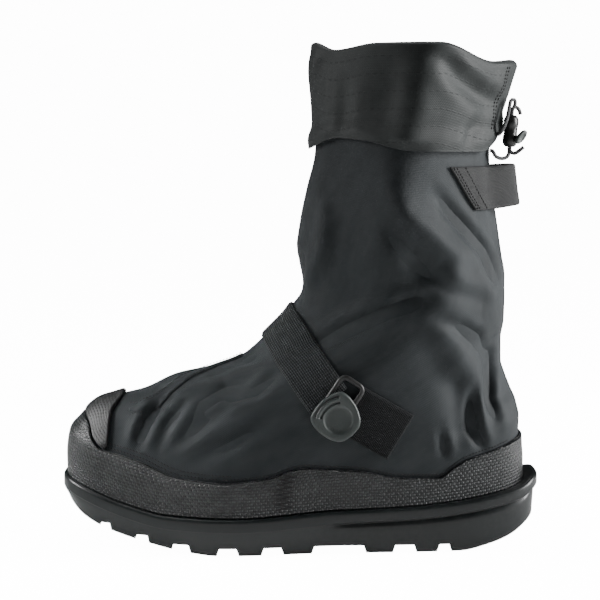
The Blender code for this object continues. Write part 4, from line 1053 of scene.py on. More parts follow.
RAND_TURNS = 420
RAND_ROWS = 34
# The rand's rounded upper edge: shares of its thickness, and how far below the edge each row stands
RAND_ROUNDING = ((1.0, 0.9 * MM), (0.55, 0.25 * MM), (0.12, 0.0))


def make_rand():
    turn = np.arange(RAND_TURNS) / RAND_TURNS
    level = rim_levels(turn, RAND_ROWS)
    outer = skin(level, turn[None, :], RAND_GAP + RAND_THICKNESS)
    inner = skin(level[::6], turn[None, :], RAND_GAP)
    stand_on_sole(outer)
    stand_on_sole(inner)
    rounded = []
    for share, below in RAND_ROUNDING:
        row = skin(level[-1:], turn[None, :], RAND_GAP + RAND_THICKNESS * share)
        row[..., 2] -= below
        rounded.append(row)
    whole = np.concatenate([inner[:1], outer[:-1], *rounded, inner[::-1]], 0)
    keep("rand_rubber", grid_mesh("rand", whole, even_uv(whole)), ("rand",), FINISH["rand"])


def sheet_wall(name, outer, inner, nodes, finish):
    """A sheet of some thickness from its outer and inner grids, closed round its edge."""
    rows, columns = outer.shape[:2]
    points = np.concatenate([outer.reshape(-1, 3), inner.reshape(-1, 3)], 0)
    count = rows * columns
    quads = grid_quads(rows, columns, columns - 1)
    faces = quads.tolist() + (quads[:, ::-1] + count).tolist()
    border = (
        [(0, k) for k in range(columns)]
        + [(k, columns - 1) for k in range(1, rows)]
        + [(rows - 1, k) for k in range(columns - 2, -1, -1)]
        + [(k, 0) for k in range(rows - 2, 0, -1)]
    )
    loop = [a * columns + b for a, b in border]
    for here, there in zip(loop, loop[1:] + loop[:1]):
        faces.append([there, here, here + count, there + count])
    mesh = new_mesh(name, points.tolist(), faces)
    flat = np.stack(arc_uv(outer), -1).reshape(-1, 2)
    both = np.concatenate([flat, flat], 0)
    layer = mesh.uv_layers.new(name="cloth")
    corners = np.empty(len(mesh.loops), np.int32)
    mesh.loops.foreach_get("vertex_index", corners)
    layer.data.foreach_set("uv", both[corners].astype(np.float32).reshape(-1))
    keep(name, mesh, nodes, finish)


def edge_drop(rows, columns, reach_rows, reach_columns):
    """1 inside a sheet and down to 0 at its edge, in a round shoulder of so many rows and columns."""
    a = np.minimum(np.arange(rows), np.arange(rows)[::-1]) / reach_rows
    b = np.minimum(np.arange(columns), np.arange(columns)[::-1]) / reach_columns
    near = np.minimum(np.minimum(a[:, None], b[None, :]), 1)
    return np.sqrt(1 - (1 - near) ** 2)


def make_toe_cap():
    columns, rows = 96, 40
    turn = (2 * np.linspace(0, 1, columns) - 1) * TOE_CAP_HALF_TURN
    bottom = level_at(turn, rand_edge(turn) + TOE_CAP_START)
    top = np.maximum(toe_cap_level(turn, bottom), bottom + TOE_CAP_LEAST)
    level = lerp(bottom[None, :], top[None, :], np.linspace(0, 1, rows)[:, None])
    swell = edge_drop(rows, columns, 3.0, 3.0) ** 0.7
    thick = TOE_CAP_THICKNESS * lerp(0.35, 1.0, swell)
    outer = skin(level, turn[None, :], RAND_GAP + thick)
    inner = skin(level, turn[None, :], RAND_GAP)
    sheet_wall("toe_cap_rubber", outer, inner, ("toe_cap",), FINISH["toe"])


def toe_cap_level(turn, low):
    """The level of the toe cap's rear edge at each turn."""

    def ahead(level):
        point = plain_form(level, turn)
        share = (point[..., 2] - SOLE_THICKNESS) / INSTEP_RISE
        return point[..., 0] / SOLE_LENGTH < table(TOE_CAP_REAR, share)

    return halving(low, low + TOE_CAP_MOST, ahead, 20)


def rings_mesh(name, rings):
    """A closed solid from rings of equal count, capped by strips from the outer side to the inner side."""
    count, width = rings.shape[:2]
    top = (count - 1) * width
    faces = grid_quads(count, width, width).tolist()
    for k in range(width // 2):
        strip = list(dict.fromkeys([k, (width - k) % width, width - k - 1, k + 1]))
        faces.append(strip)
        faces.append([top + index for index in reversed(strip)])
    return new_mesh(name, rings.reshape(-1, 3).tolist(), faces)


def lip_share(x):
    """1 where the lip stands over its groove, from the waist back, and 0 in front of it."""
    return np.clip((x / SOLE_LENGTH - 0.05) / 0.06, 0, 1)


BOX_FACES = ((0, 3, 2, 1), (4, 5, 6, 7), (0, 1, 5, 4), (1, 2, 6, 5), (2, 3, 7, 6), (3, 0, 4, 7))


def cross_gap(place, width):
    """A trapezoid channel right across the sole."""
    x = place * SOLE_LENGTH
    points = []
    for z, grow in ((-LUG_DEPTH, LUG_SLOPE * 2), (float(tread_bottom(x)) + LUG_DEPTH, 0)):
        for dx, y in ((-1, -1), (1, -1), (1, 1), (-1, 1)):
            points.append((x + dx * (width / 2 + grow), y * BALL_WIDTH, z))
    return points, BOX_FACES


def long_channel(start, end, offset):
    """A straight channel along the tread, as deep as the gaps between the lugs, less a bar at its ends."""
    y = offset * BALL_WIDTH
    half = TREAD_CHANNEL / 2
    x0, x1 = start * SOLE_LENGTH, end * SOLE_LENGTH
    points = []
    for z, grow in ((-LUG_DEPTH, LUG_SLOPE), (LUG_DEPTH - 1 * MM, 0)):
        raised0 = z if z < 0 else float(tread_bottom(x0)) + z
        raised1 = z if z < 0 else float(tread_bottom(x1)) + z
        points += [(x0, y - half - grow, raised0), (x1, y - half - grow, raised1)]
        points += [(x1, y + half + grow, raised1), (x0, y + half + grow, raised0)]
    return points, BOX_FACES


def boxes_object(name, parts):
    """One object of several boxes, to be cut out of a piece."""
    points, faces = [], []
    for part_points, part_faces in parts:
        faces += [tuple(i + len(points) for i in face) for face in part_faces]
        points += [tuple(point) for point in part_points]
    mesh = bpy.data.meshes.new(name)
    mesh.from_pydata(points, [], faces)
    return linked(name, mesh)


def carved(item, *cutters):
    """The mesh of an object less its cutters, whose objects are then removed with it."""
    for cutter in cutters:
        cut = item.modifiers.new(cutter.name, "BOOLEAN")
        cut.operation = "DIFFERENCE"
        cut.solver = "EXACT"
        cut.object = cutter
    graph = bpy.context.evaluated_depsgraph_get()
    mesh = bpy.data.meshes.new_from_object(item.evaluated_get(graph), depsgraph=graph)
    for spent in (item, *cutters):
        data = spent.data
        bpy.data.objects.remove(spent)
        bpy.data.meshes.remove(data)
    return mesh


def quarter(steps, first=0):
    """The sine and cosine at even steps of a quarter turn."""
    angles = [math.pi / 2 * k / steps for k in range(first, steps + 1)]
    return [(math.sin(angle), math.cos(angle)) for angle in angles]


SOLE_TURNS = 240


def sole_rows(x):
    """The sole's side from its tread up: each row's height, and how far it is inside the outline."""
    bottom, top = tread_bottom(x), sole_top(x)
    share = lip_share(x)
    lip_foot = top - LIP_HEIGHT
    chamfer_reach = BOTTOM_CHAMFER * 0.9
    rows = [(bottom, SIDE_TAPER + chamfer_reach)]
    for sine, cosine in quarter(5, 1):
        rows.append((bottom + BOTTOM_CHAMFER * (1 - cosine), SIDE_TAPER + chamfer_reach * (1 - sine)))
    low = bottom + BOTTOM_CHAMFER
    high = lerp(low, lip_foot, 0.80)
    under_lip = lerp(SIDE_TAPER * 0.25, LIP_STEP, share)
    for part in (0.25, 0.50, 0.75, 1.00):
        rows.append((lerp(low, high, part), lerp(SIDE_TAPER, under_lip, part)))
    rows.append((lip_foot - 0.7 * MM, lerp(0.5 * MM, LIP_STEP + 0.3 * MM, share)))
    rows.append((lip_foot, lerp(0.4 * MM, LIP_STEP + 1.0 * MM, share)))
    rows.append((lip_foot + 0.5 * MM, lerp(0.35 * MM, LIP_STEP * 0.55, share)))
    for sine, cosine in quarter(4):
        rows.append((lip_foot + 0.9 * MM + 1.4 * MM * (1 - cosine), 1.0 * MM * (1 - sine) * share))
    for sine, cosine in quarter(6):
        rows.append((top - LIP_ROUND * 1.8 * (1 - sine), LIP_ROUND * 1.5 * (1 - cosine)))
    rows.append((top, LIP_ROUND * 1.5 + 2.2 * MM))
    return rows


def make_outsole():
    turn = np.arange(SOLE_TURNS) / SOLE_TURNS
    rings = []
    for height, inset in sole_rows(ring_plan(SOLE_RING, turn)[0]):
        x, y, _ = ring_plan(SOLE_RING, turn, np.broadcast_to(inset, turn.shape))
        rings.append(np.stack([x, y, height + 0 * x], -1))
    sole = linked("sole_form", rings_mesh("sole_form", np.stack(rings)))
    gaps = boxes_object("lug_gaps", [cross_gap(place, width * LUG_PITCH) for place, width in LUG_GAPS])
    channels = boxes_object("tread_channels", [long_channel(*row) for row in TREAD_CHANNELS])
    keep("sole_rubber", carved(sole, gaps, channels), ("outsole",), FINISH["sole"])


def make_insole():
    turn = np.arange(96) / 96
    rings = []
    for rise, inset in (
        (GAP, NYLON + INSOLE_MARGIN),
        (GAP + INSOLE_THICKNESS * 0.3, NYLON + INSOLE_MARGIN * 0.7),
        (GAP + INSOLE_THICKNESS * 0.7, NYLON + INSOLE_MARGIN * 0.7),
        (GAP + INSOLE_THICKNESS, NYLON + INSOLE_MARGIN),
        (GAP + INSOLE_THICKNESS, NYLON + INSOLE_MARGIN + 3 * MM),
    ):
        x, y, _ = ring_plan(RINGS[0], turn, inset)
        rings.append(np.stack([x, y, sole_top(x) + rise], -1))
    keep("footbed", rings_mesh("footbed", np.stack(rings)), ("insole",), FINISH["lining"])


CUFF_TURNS = 320
CUFF_SPANS = 74
CUFF_STAND_OFF = SOFT_GAP * 5
# The dip over the swell of the cuff's hem, and the ring that is nearest to the hem
HEM_DIP = 0.5 * MM
HEM_RING = 16


def hem_level(turn):
    x = plain_form(HEM_RING, turn)[..., 0]
    height = SOLE_THICKNESS + ring_height(table(CUFF_HEM, x / SOLE_LENGTH))
    return level_at(turn, height)


def make_cuff():
    """The ripstop collar turned down over the shaft, its hem rolled and its faces creased."""
    turn = np.arange(CUFF_TURNS) / CUFF_TURNS
    inside = NYLON + SOFT_GAP
    back = COLLAR - CUFF_RETURN / (SHAFT_RISE * (RINGS[COLLAR].z2 - RINGS[COLLAR - 1].z2))
    hem = hem_level(turn)
    rows = []

    def row(level, offset, lift=0.0, creased=0.0):
        level = np.broadcast_to(level, turn.shape)
        points = skin(level, turn, offset)
        if creased:
            push = creased * crease_depth(points, CUFF_CREASES)
            points = points + plain_normal(level, turn) * push[..., None]
        points[..., 2] += lift
        rows.append(points)

    # the inner return, its hem first
    row(back, -inside - 0.8 * MM)
    for k in range(9):
        row(lerp(back, COLLAR, k / 8), -inside - CUFF_CLOTH, 0.1 * MM)
    # the fold over the collar's edge, a half circle
    reach = (inside + CUFF_STAND_OFF + CUFF_CLOTH * 2) / 2
    middle = CUFF_STAND_OFF + CUFF_CLOTH - reach
    for k in range(1, 10):
        angle = math.pi * k / 10
        row(COLLAR, middle - reach * math.cos(angle), SOFT_GAP * 1.2 + reach * 0.75 * math.sin(angle))
    # the outer face, with a dip and a swell above its hem
    outer_start = len(rows)
    for k in range(CUFF_SPANS + 1):
        share = 1 - k / CUFF_SPANS
        swell = HEM_SWELL * bell((share - 0.10) / 0.10) - HEM_DIP * bell((share - 0.26) / 0.07)
        creased = ease(min(share, 1 - share) * 8) * 0.85 + 0.15
        row(lerp(hem, COLLAR, share), CUFF_STAND_OFF + CUFF_CLOTH + swell, 0.0, creased)
    # the hem's roll and the hidden inner face
    for k in range(1, 7):
        angle = math.pi * k / 6
        offset = CUFF_STAND_OFF + CUFF_CLOTH * (0.5 + 0.6 * math.cos(angle)) + HEM_SWELL * 0.4
        row(hem, offset, -CUFF_CLOTH * 0.7 * math.sin(angle))
    row(lerp(hem, COLLAR, 0.25), SOFT_GAP * 4.4)
    whole = np.stack(rows)
    u, v = even_uv(whole)
    mesh = grid_mesh("cuff_cloth", whole, (u, v - v[outer_start]))
    keep("cuff_cloth", mesh, ("cuff",), FINISH["ripstop"])


def side_point(place):
    """A side-view place of the ring table's kind on the boot's middle line."""
    return Vector((place[0] * SOLE_LENGTH, 0, SOLE_THICKNESS + float(ring_height(place[1]))))


def on_form(form, start, direction):
    """The point where a ray from inside meets a surface, and the way straight out of it."""
    hit, normal = form.ray_cast(start, direction)[:2]
    if normal.dot(direction) < 0:
        normal = -normal
    return hit, normal


def strap_frame():
    """The strap's slice: a middle point inside the boot, the way up to the ridge, and the way across it."""
    ridge, foot = side_point(STRAP_PLACE), side_point(STRAP_FOOT)
    up = (ridge - foot).normalized()
    return foot, up, Vector((up.z, 0, -up.x))


def as_grid(rows):
    """An array of points from rows of vectors."""
    return np.array([[tuple(point) for point in row] for row in rows])


def laid(form, starts, directions, lift):
    """A grid of points laid on a surface by rays, each with the way straight out of it."""
    rows, outs = [], []
    for start_row, way_row in zip(starts, directions):
        hits = [on_form(form, start, way) for start, way in zip(start_row, way_row)]
        rows.append([hit + normal * lift for hit, normal in hits])
        outs.append([normal for _, normal in hits])
    return as_grid(rows), as_grid(outs)


def smoothed(grid, times, axis=0):
    """A grid with its small bumps taken out along one axis, its ends kept."""
    grid = np.moveaxis(grid.copy(), axis, 0)
    for _ in range(times):
        grid[1:-1] = (grid[:-2] + 2 * grid[1:-1] + grid[2:]) / 4
    return np.moveaxis(grid, 0, axis)


def outward(points):
    """The way straight out of a grid, from its own rows and columns."""
    along = np.gradient(points, axis=1)
    up = np.gradient(points, axis=0)
    return unit(np.cross(along, up))


def band(name, points, outs, thickness, nodes, finish, shoulder=2.5, low=0.35):
    """A strip of webbing from the grid of its lower face, with a round shoulder at its edge."""
    rows, columns = points.shape[:2]
    height = lerp(low, 1.0, edge_drop(rows, columns, shoulder, shoulder))[..., None]
    sheet_wall(name, points + outs * thickness * height, points, nodes, finish)


def make_instep_strap(form):
    middle, up, across = strap_frame()
    spans, columns = 200, 25
    angles = [lerp(STRAP_OUTER_ANGLE, STRAP_INNER_ANGLE, k / spans) for k in range(spans + 1)]
    offsets = [STRAP_WIDTH * (c / (columns - 1) - 0.5) for c in range(columns)]
    starts = [[middle + across * offset for offset in offsets] for _ in angles]
    ways = [[up * math.cos(a) - Vector((0, 1, 0)) * math.sin(a)] * columns for a in angles]
    points, outs = laid(form, starts, ways, STRAP_LIFT)
    points = smoothed(smoothed(points, 8, 0), 6, 1)
    outs = unit(smoothed(smoothed(outs, 14, 0), 8, 1))
    band("strap_webbing", points, outs, STRAP_THICKNESS, ("instep_strap",), FINISH["webbing"])


def patch_rays(centre, along, width, length, columns, rows):
    middle = side_point(centre)
    way = Vector((math.cos(along), 0, math.sin(along)))
    across = Vector((-way.z, 0, way.x))
    starts = []
    for r in range(rows):
        shift = across * (width * (r / (rows - 1) - 0.5))
        starts.append([middle + way * (length * (c / (columns - 1) - 0.5)) + shift for c in range(columns)])
    return starts, [[Vector((0, -1, 0))] * columns for _ in range(rows)]


def make_buckle_tab(form):
    starts, ways = patch_rays(TAB_CENTRE, TAB_LEAN, TAB_WIDTH, TAB_LENGTH, 60, 46)
    points, outs = laid(form, starts, ways, TAB_LIFT)
    points = smoothed(smoothed(points, 10, 0), 10, 1)
    outs = unit(smoothed(smoothed(outs, 12, 0), 12, 1))
    band("tab_webbing", points, outs, TAB_THICKNESS, ("buckle_tab",), FINISH["tab"], 3.0, 0.45)


def make_closure_strap():
    spans, bands = 220, 30
    top = SOLE_THICKNESS + float(ring_height(CLOSURE_TOP))
    share = np.linspace(0, 1, bands + 1)
    height = top - CLOSURE_WIDTH * (1 - share)
    start = lerp(CLOSURE_OUTER_LOW, CLOSURE_OUTER_HIGH, share)
    turn = lerp(start[:, None], CLOSURE_INNER, np.linspace(0, 1, spans + 1)[None, :])
    loop = np.exp(-(((turn - CLOSURE_BACK) / CLOSURE_LOOP_TURN) ** 4))
    level = level_at(turn, np.broadcast_to(height[:, None], turn.shape))
    points = skin(level, turn, CLOSURE_LIFT + CLOSURE_STAND_OFF * loop)
    points = smoothed(points, 6, 1)
    outs = outward(points)
    band("closure_webbing", points, outs, CLOSURE_THICKNESS, ("closure_strap",), FINISH["closure"], 2.5, 0.4)


def make_vamp_seam(form):
    lengths, widths = 120, 13
    starts, ways = [], []
    for c in range(widths):
        row = []
        for k in range(lengths):
            place = lerp(VAMP_SEAM[0][0], VAMP_SEAM[-1][0], k / (lengths - 1))
            width = VAMP_SEAM_WIDTH * lerp(0.2, 1.0, ease(min(k / 14, 1)))
            y = float(table(VAMP_SEAM, place)) * BALL_WIDTH + (c / (widths - 1) - 0.5) * width
            row.append(Vector((place * SOLE_LENGTH, y, SOLE_THICKNESS)))
        starts.append(row)
        ways.append([Vector((0, 0, 1))] * lengths)
    points, outs = laid(form, starts, ways, VAMP_SEAM_LIFT)
    points = smoothed(points, 6, 1)
    height = edge_drop(widths, lengths, 4, 4)[..., None]
    outer = points + outs * VAMP_SEAM_THICKNESS * lerp(0.12, 0.9, height)
    sheet_wall("seam_cloth", outer, points, ("vamp_seam",), FINISH["nylon"])


def place_on_side(form, centre, along, lift):
    """A frame on the outer side: an origin off the surface, and its ways along, across and straight out."""
    hit, normal = on_form(form, side_point(centre), Vector((0, -1, 0)))
    way = Vector((math.cos(along), 0, math.sin(along)))
    way = (way - normal * way.dot(normal)).normalized()
    return hit + normal * lift, way, normal.cross(way), normal


def in_frame(seat, along, across, out):
    origin, way, side, normal = seat
    return origin + way * along + side * across + normal * out


def closed_tube_mesh(name, rings):
    """A tube through rings of points which meets its own start."""
    count, sides = len(rings), len(rings[0])
    faces = []
    for r in range(count):
        s = (r + 1) % count
        for c in range(sides):
            d = (c + 1) % sides
            faces.append((r * sides + c, s * sides + c, s * sides + d, r * sides + d))
    return new_mesh(name, [tuple(point) for ring in rings for point in ring], faces)


def make_buckle_frame(form):
    seat = place_on_side(form, BUCKLE_CENTRE, BUCKLE_LEAN, BUCKLE_LIFT)
    corner = 6 * MM
    rings = []
    sides, steps = 20, 12
    for quarter in range(4):
        cx = (BUCKLE_FRAME_LENGTH / 2 - corner) * (1, -1, -1, 1)[quarter]
        cy = (BUCKLE_FRAME_WIDTH / 2 - corner) * (1, 1, -1, -1)[quarter]
        for step in range(steps + 1):
            angle = math.radians(90 * quarter + 90 * step / steps)
            ring = []
            for k in range(sides):
                turn = 2 * math.pi * k / sides
                reach = corner - BUCKLE_BAR / 2 + math.cos(turn) * BUCKLE_BAR / 2
                along, across = cx + math.cos(angle) * reach, cy + math.sin(angle) * reach
                ring.append(in_frame(seat, along, across, math.sin(turn) * BUCKLE_BAR * 0.45))
            rings.append(ring)
    mesh = closed_tube_mesh("frame_bar", rings)
    keep("frame_bar", mesh, ("buckle_frame",), FINISH["black"])


def lever_outline(count):
    """The lever's whole outline, from the grip's middle round and back, in an even number of points."""
    steps = count // 2
    half = []
    for k in range(steps + 1):
        place = (len(LEVER_OUTLINE) - 1) * k / steps
        numbers = list(range(len(LEVER_OUTLINE)))
        along = float(curve(numbers, [row[0] for row in LEVER_OUTLINE], place))
        across = float(curve(numbers, [row[1] for row in LEVER_OUTLINE], place))
        half.append((along, across))
    return half + [(along, -across) for along, across in reversed(half[1:-1])]


def arc_channel(seat, radius, low, high):
    """A narrow curved box across the lever, bent round GROOVE_CENTRE."""
    points, faces, steps = [], [], 24
    for k in range(steps + 1):
        angle = lerp(-GROOVE_REACH, GROOVE_REACH, k / steps)
        for grow, out in ((-0.5, low), (0.5, low), (0.5, high), (-0.5, high)):
            reach = radius + grow * GROOVE_WIDTH
            along, across = GROOVE_CENTRE - math.cos(angle) * reach, math.sin(angle) * reach
            points.append(in_frame(seat, along, across, out))
    for k in range(steps):
        for c in range(4):
            d = (c + 1) % 4
            faces.append((4 * k + c, 4 * k + d, 4 * k + 4 + d, 4 * k + 4 + c))
    faces += [(3, 2, 1, 0), tuple(4 * steps + c for c in range(4))]
    return points, faces


# The lever's side from below: how far inside its outline, and at what share of its thickness
LEVER_SIDE = ((1.2 * MM, 0), (0.4 * MM, 0.06), (0, 0.22), (0, 0.66))
LEVER_ROUND = 1.4 * MM
# The dish from its rim inwards: how much wider than LEVER_DISH, and at what share of the thickness
DISH_SIDE = ((0.3 * MM, 1.0), (0, 0.97), (-0.6 * MM, 0.82), (-1.6 * MM, 0.70), (-3.4 * MM, 0.66))
LEVER_POINTS = 120


def make_buckle_lever(form):
    seat = place_on_side(form, LEVER_CENTRE, LEVER_LEAN, LEVER_LIFT)
    outline = lever_outline(LEVER_POINTS)
    rounding = [(LEVER_ROUND * (1 - cosine), lerp(0.66, 1.0, sine)) for sine, cosine in quarter(6, 1)]
    rings = []
    for inset, out in (*LEVER_SIDE, *rounding):
        length, width, height = LEVER_LENGTH / 2 - inset, LEVER_WIDTH / 2 - inset, out * LEVER_THICKNESS
        rings.append([in_frame(seat, a * length, b * width, height) for a, b in outline])
    for wider, out in DISH_SIDE:
        radius = LEVER_DISH + wider
        ring = []
        for k in range(LEVER_POINTS):
            angle = 2 * math.pi * k / LEVER_POINTS
            along, across = math.cos(angle) * radius + DISH_OFFSET, math.sin(angle) * radius
            ring.append(in_frame(seat, along, across, out * LEVER_THICKNESS))
        rings.append(ring)
    lever = linked("lever_form", rings_mesh("lever_form", as_grid(rings)))
    low, high = LEVER_THICKNESS - GROOVE_DEPTH, LEVER_THICKNESS * 1.5
    channels = [arc_channel(seat, radius, low, high) for radius in LEVER_GROOVES]
    grooves = boxes_object("lever_grooves", channels)
    keep("lever_shield", carved(lever, grooves), ("buckle_lever",), FINISH["grey"])


def smooth_path(points, count):
    """Points of equal parameter along a smooth curve through given points."""
    spots = list(points)
    spots = [spots[0] * 2 - spots[1], *spots, spots[-1] * 2 - spots[-2]]
    path = []
    for k in range(count + 1):
        place = k / count * (len(spots) - 3)
        i = min(int(place), len(spots) - 4)
        t = place - i
        a, b, c, d = spots[i : i + 4]
        path.append(
            (b * 2 + (c - a) * t + (a * 2 - b * 5 + c * 4 - d) * t**2 + (b * 3 - a - c * 3 + d) * t**3) / 2
        )
    return path


def turned_body(centre, axis, profile, squash, sides, start):
    """Rings of a turned solid from pairs of distance along its axis and radius.

    It is squashed across the start direction."""
    axis = axis.normalized()
    first = (start - axis * start.dot(axis)).normalized()
    second = axis.cross(first)
    rings = []
    for along, radius in profile:
        ring = []
        for k in range(sides):
            turn = 2 * math.pi * k / sides
            reach = first * (math.cos(turn) * radius) + second * (math.sin(turn) * radius * squash)
            ring.append(centre + axis * along + reach)
        rings.append(ring)
    return as_grid(rings)


LOCK_AXIS = Vector((0.06, 0.05, 1))
LOCK_SQUASH = 0.78
# The barrel from its middle to one end: shares of its half length and of its radius
LOCK_SIDE = (
    (0.25, 0.90),
    (0.30, 0.96),
    (0.55, 1.00),
    (0.76, 0.96),
    (0.88, 0.84),
    (0.97, 0.68),
    (1.00, 0.58),
    (1.00, 0.50),
)
# The button: millimetres outside the barrel's radius, and shares of that radius
BUTTON_SIDE = (
    (1.0, 0.30),
    (2.3, 0.30),
    (2.5, 0.66),
    (2.7, 0.78),
    (3.1, 0.83),
    (4.1, 0.83),
    (4.6, 0.79),
    (4.8, 0.68),
    (4.8, 0.52),
    (4.4, 0.44),
)


def make_cord_lock():
    centre = Vector(LOCK_CENTRE) * MM
    half, radius = LOCK_LENGTH / 2, LOCK_DIAMETER / 2
    upper = [(half * along, radius * share) for along, share in LOCK_SIDE]
    lower = [(-along, reach) for along, reach in reversed(upper)]
    profile = (*lower, (0, radius * 0.89), *upper)
    rings = turned_body(centre, LOCK_AXIS, profile, LOCK_SQUASH, 64, Vector((0, 1, 0)))
    mesh = rings_mesh("lock_barrel", rings)
    keep("lock_barrel", mesh, ("cord_lock",), FINISH["black"])
    button = [(radius + out * MM, radius * share) for out, share in BUTTON_SIDE]
    rings = turned_body(centre, BUTTON_WAY, button, BUTTON_SQUASH, 56, BUTTON_LONG_WAY)
    mesh = rings_mesh("lock_button", rings)
    keep("lock_button", mesh, ("cord_lock_button",), FINISH["grey"])


STITCH_PITCH = 2.4 * MM
STITCH_LENGTH = 1.7 * MM
STITCH_THREAD = 0.7 * MM


def stitch_tree():
    """Geometry nodes that lay one stitch after another along a line."""
    tree = bpy.data.node_groups.new("stitches", "GeometryNodeTree")
    face = tree.interface
    face.new_socket("Line", in_out="INPUT", socket_type="NodeSocketGeometry")
    for name in ("Pitch", "Length", "Thread"):
        face.new_socket(name, in_out="INPUT", socket_type="NodeSocketFloat")
    face.new_socket("Finish", in_out="INPUT", socket_type="NodeSocketMaterial")
    face.new_socket("Stitches", in_out="OUTPUT", socket_type="NodeSocketGeometry")
    given = tree.nodes.new("NodeGroupInput").outputs
    spots = tree.nodes.new("GeometryNodeCurveToPoints")
    spots.mode = "LENGTH"
    stitch = tree.nodes.new("GeometryNodeMeshUVSphere")
    stitch.inputs["Segments"].default_value = 6
    stitch.inputs["Rings"].default_value = 5
    stitch.inputs["Radius"].default_value = 0.5
    size = tree.nodes.new("ShaderNodeCombineXYZ")
    place = tree.nodes.new("GeometryNodeInstanceOnPoints")
    real = tree.nodes.new("GeometryNodeRealizeInstances")
    paint = tree.nodes.new("GeometryNodeSetMaterial")
    join = tree.links.new
    join(given["Line"], spots.inputs["Curve"])
    join(given["Pitch"], spots.inputs["Length"])
    join(given["Thread"], size.inputs["X"])
    join(given["Thread"], size.inputs["Y"])
    join(given["Length"], size.inputs["Z"])
    join(spots.outputs["Points"], place.inputs["Points"])
    join(stitch.outputs["Mesh"], place.inputs["Instance"])
    join(spots.outputs["Rotation"], place.inputs["Rotation"])
    join(size.outputs[0], place.inputs["Scale"])
    join(place.outputs[0], real.inputs[0])
    join(real.outputs[0], paint.inputs["Geometry"])
    join(given["Finish"], paint.inputs["Material"])
    join(paint.outputs[0], tree.nodes.new("NodeGroupOutput").inputs["Stitches"])
    return tree


STITCHES = stitch_tree()


def line_curve(name, lines):
    """A curve through lines of points."""
    data = bpy.data.curves.new(name, "CURVE")
    data.dimensions = "3D"
    for line in lines:
        spline = data.splines.new("POLY")
        spline.points.add(len(line) - 1)
        for spot, point in zip(spline.points, line):
            spot.co = (*point, 1)
    return data


def sew(name, lines, pitch=STITCH_PITCH, length=STITCH_LENGTH, thread=STITCH_THREAD):
    """Rows of stitches along lines of points."""
    guide = linked(name + "_line", line_curve(name, lines))
    layer = guide.modifiers.new("stitches", "NODES")
    layer.node_group = STITCHES
    values = {"Pitch": pitch, "Length": length, "Thread": thread, "Finish": FINISH["thread"]}
    for socket in STITCHES.interface.items_tree:
        if socket.in_out == "INPUT" and socket.name in values:
            layer[socket.identifier] = values[socket.name]
    ready = guide.evaluated_get(bpy.context.evaluated_depsgraph_get())
    mesh = bpy.data.meshes.new_from_object(ready)
    bpy.data.objects.remove(guide)
    mesh.shade_smooth()
    keep(name, mesh, ())


# Stitch rows: the height above the rand's edge in millimetres, and the turns between which they run
RAND_ROWS_SEWN = ((1.9, 0.06, 0.44), (4.3, 0.06, 0.20))
CLOSURE_ROWS_IN = (1.6, 3.4, 9.5)
CUFF_SEAM_TURN = 0.425
SHAFT_GIRTH = 300 * MM


def sew_rand():
    lines = []
    for above, first, last in RAND_ROWS_SEWN:
        turn = np.linspace(first, last, 160)
        level = level_at(turn, rand_edge(turn) + above * MM)
        lines.append(skin(level, turn, STITCH_RISE, CREASES))
    sew("rand_stitches", lines)


def sew_closure():
    top = SOLE_THICKNESS + float(ring_height(CLOSURE_TOP))
    share = np.linspace(0.05, 0.95, 30)
    height = top - CLOSURE_WIDTH * (1 - share)
    lines = []
    for inset in CLOSURE_ROWS_IN:
        turn = lerp(CLOSURE_OUTER_LOW, CLOSURE_OUTER_HIGH, share) + inset * MM / SHAFT_GIRTH
        level = level_at(turn, height)
        lines.append(skin(level, turn, CLOSURE_LIFT + CLOSURE_THICKNESS + 0.15 * MM))
    sew("closure_stitches", lines, thread=0.9 * MM)


def sew_cuff():
    low = float(hem_level(np.array([CUFF_SEAM_TURN]))[0])
    lines = []
    for shift in (-0.004, 0.004):
        turn = np.full(60, CUFF_SEAM_TURN + shift)
        level = lerp(low + 0.10, COLLAR - 0.03, np.linspace(0, 1, 60))
        line = skin(level, turn, CUFF_STAND_OFF + CUFF_CLOTH + STITCH_RISE)
        lines.append(line + plain_normal(level, turn) * crease_depth(line, CUFF_CREASES)[..., None])
    sew("cuff_stitches", lines)


def sew_vamp(form):
    count = 80
    lines = []
    for side in (-0.42, 0.42):
        starts = []
        for k in range(count):
            place = lerp(VAMP_SEAM[0][0], VAMP_SEAM[-1][0], 0.02 + 0.96 * k / (count - 1))
            y = float(table(VAMP_SEAM, place)) * BALL_WIDTH + side * VAMP_SEAM_WIDTH
            starts.append(Vector((place * SOLE_LENGTH, y, SOLE_THICKNESS)))
        points, outs = laid(form, [starts], [[Vector((0, 0, 1))] * count], SOFT_GAP)
        lines.append(points[0] + outs[0] * VAMP_SEAM_THICKNESS * 0.9)
    sew("vamp_stitches", lines)


# The zigzag that joins the rand's two ends on the outer side: its turn, its number of corners, its width,
# and the pitch, length and thread of its stitches
ZIGZAG_TURN = 0.243
ZIGZAG_WIDTH = 7.5 * MM
ZIGZAG_PITCH = 0.9 * MM
ZIGZAG_STITCH = 1.6 * MM
ZIGZAG_THREAD = 0.95 * MM
ZIGZAG_STEPS = 15


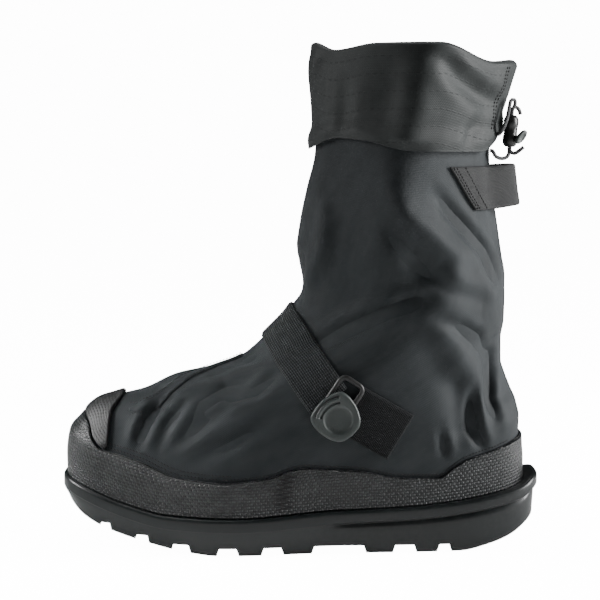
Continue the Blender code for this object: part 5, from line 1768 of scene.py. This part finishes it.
def sew_zigzag():
    low = SOLE_THICKNESS + 6 * MM
    high = float(rand_edge(np.array([ZIGZAG_TURN]))[0]) - 2 * MM
    corners = []
    for k in range(ZIGZAG_STEPS):
        turn = np.array([ZIGZAG_TURN + (0.5 if k % 2 else -0.5) * ZIGZAG_WIDTH / (2.1 * SOLE_LENGTH)])
        height = lerp(low, high, k / (ZIGZAG_STEPS - 1))
        level = level_at(turn, np.array([height]))
        corners.append(skin(level, turn, RAND_GAP + RAND_THICKNESS + 0.1 * MM)[0])
    lines = [[a + (b - a) * k / 12 for k in range(13)] for a, b in zip(corners, corners[1:])]
    sew("zigzag_stitches", lines, ZIGZAG_PITCH, ZIGZAG_STITCH, ZIGZAG_THREAD)


# The cord lock's centre in millimetres, and each cord's route from it: the same places as its solids have,
# on through the lock between them
LOCK_CENTRE = (141.3, -9, 280)
CORD_HIGH_TO_LOW = (
    (-10.1, -8.2, -2.0),
    (-8.6, -9.6, -2.0),
    (-6.3, -10.3, 1.5),
    (-3.7, -9.6, 8.0),
    (-1.9, -6.5, 15.0),
    (-0.4, -3.2, 20.3),
    (2.3, -1.4, 20.6),
    (2.6, -1.2, 17.4),
    (0.9, -1.4, 14.3),
    (0.65, -1.48, 10.77),
    (0.43, -1.65, 7.2),
    (0.22, -1.83, 3.6),
    (0.0, -2.0, 0.0),
    (-0.22, -2.17, -3.6),
    (-0.43, -2.35, -7.2),
    (-0.65, -2.52, -10.77),
    (-0.5, -2.7, -13.4),
    (2.2, -3.4, -15.0),
    (5.4, -3.9, -13.2),
    (8.4, -4.3, -10.6),
)
CORD_LOW_TO_HIGH = (
    (-14.2, -5.2, -13.0),
    (-12.3, -5.8, -13.5),
    (-10.6, -6.0, -16.8),
    (-6.3, -4.0, -18.4),
    (-2.4, -1.4, -17.4),
    (-0.65, 1.2, -14.4),
    (-0.65, 1.48, -10.77),
    (-0.43, 1.65, -7.2),
    (-0.22, 1.83, -3.6),
    (0.0, 2.0, 0.0),
    (0.22, 2.17, 3.6),
    (0.43, 2.35, 7.2),
    (0.65, 2.52, 10.77),
    (0.83, 2.67, 13.8),
    (3.0, 3.0, 16.0),
    (5.8, 3.5, 14.5),
    (7.0, 4.0, 11.0),
)


def from_lock(points):
    return [(Vector(LOCK_CENTRE) + Vector(point)) * MM for point in points]


def make_cord(name, route, nodes, count):
    path = smooth_path(from_lock(route), count)
    data = line_curve(name, [path])
    data.bevel_depth = CORD_DIAMETER / 2
    data.bevel_resolution = 4
    data.use_fill_caps = True
    data.materials.append(FINISH["cord"])
    item = linked(name, data)
    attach(item, "root")
    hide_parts(*nodes)


camera()
studio()
make_cord("drawcord_high", CORD_HIGH_TO_LOW, ("drawcord_upper", "cord_end_low"), 39)
make_cord("drawcord_low", CORD_LOW_TO_HIGH, ("drawcord_lower", "cord_end_high"), 36)
make_outsole()
make_insole()
cloth = make_upper_cloth()
form = mesh_surface(cloth)
make_rand()
make_toe_cap()
make_vamp_seam(form)
make_cuff()
make_instep_strap(form)
make_buckle_tab(form)
make_buckle_frame(form)
make_buckle_lever(form)
make_closure_strap()
make_cord_lock()
sew_rand()
sew_closure()
sew_cuff()
sew_vamp(form)
sew_zigzag()
bpy.data.meshes.remove(cloth)
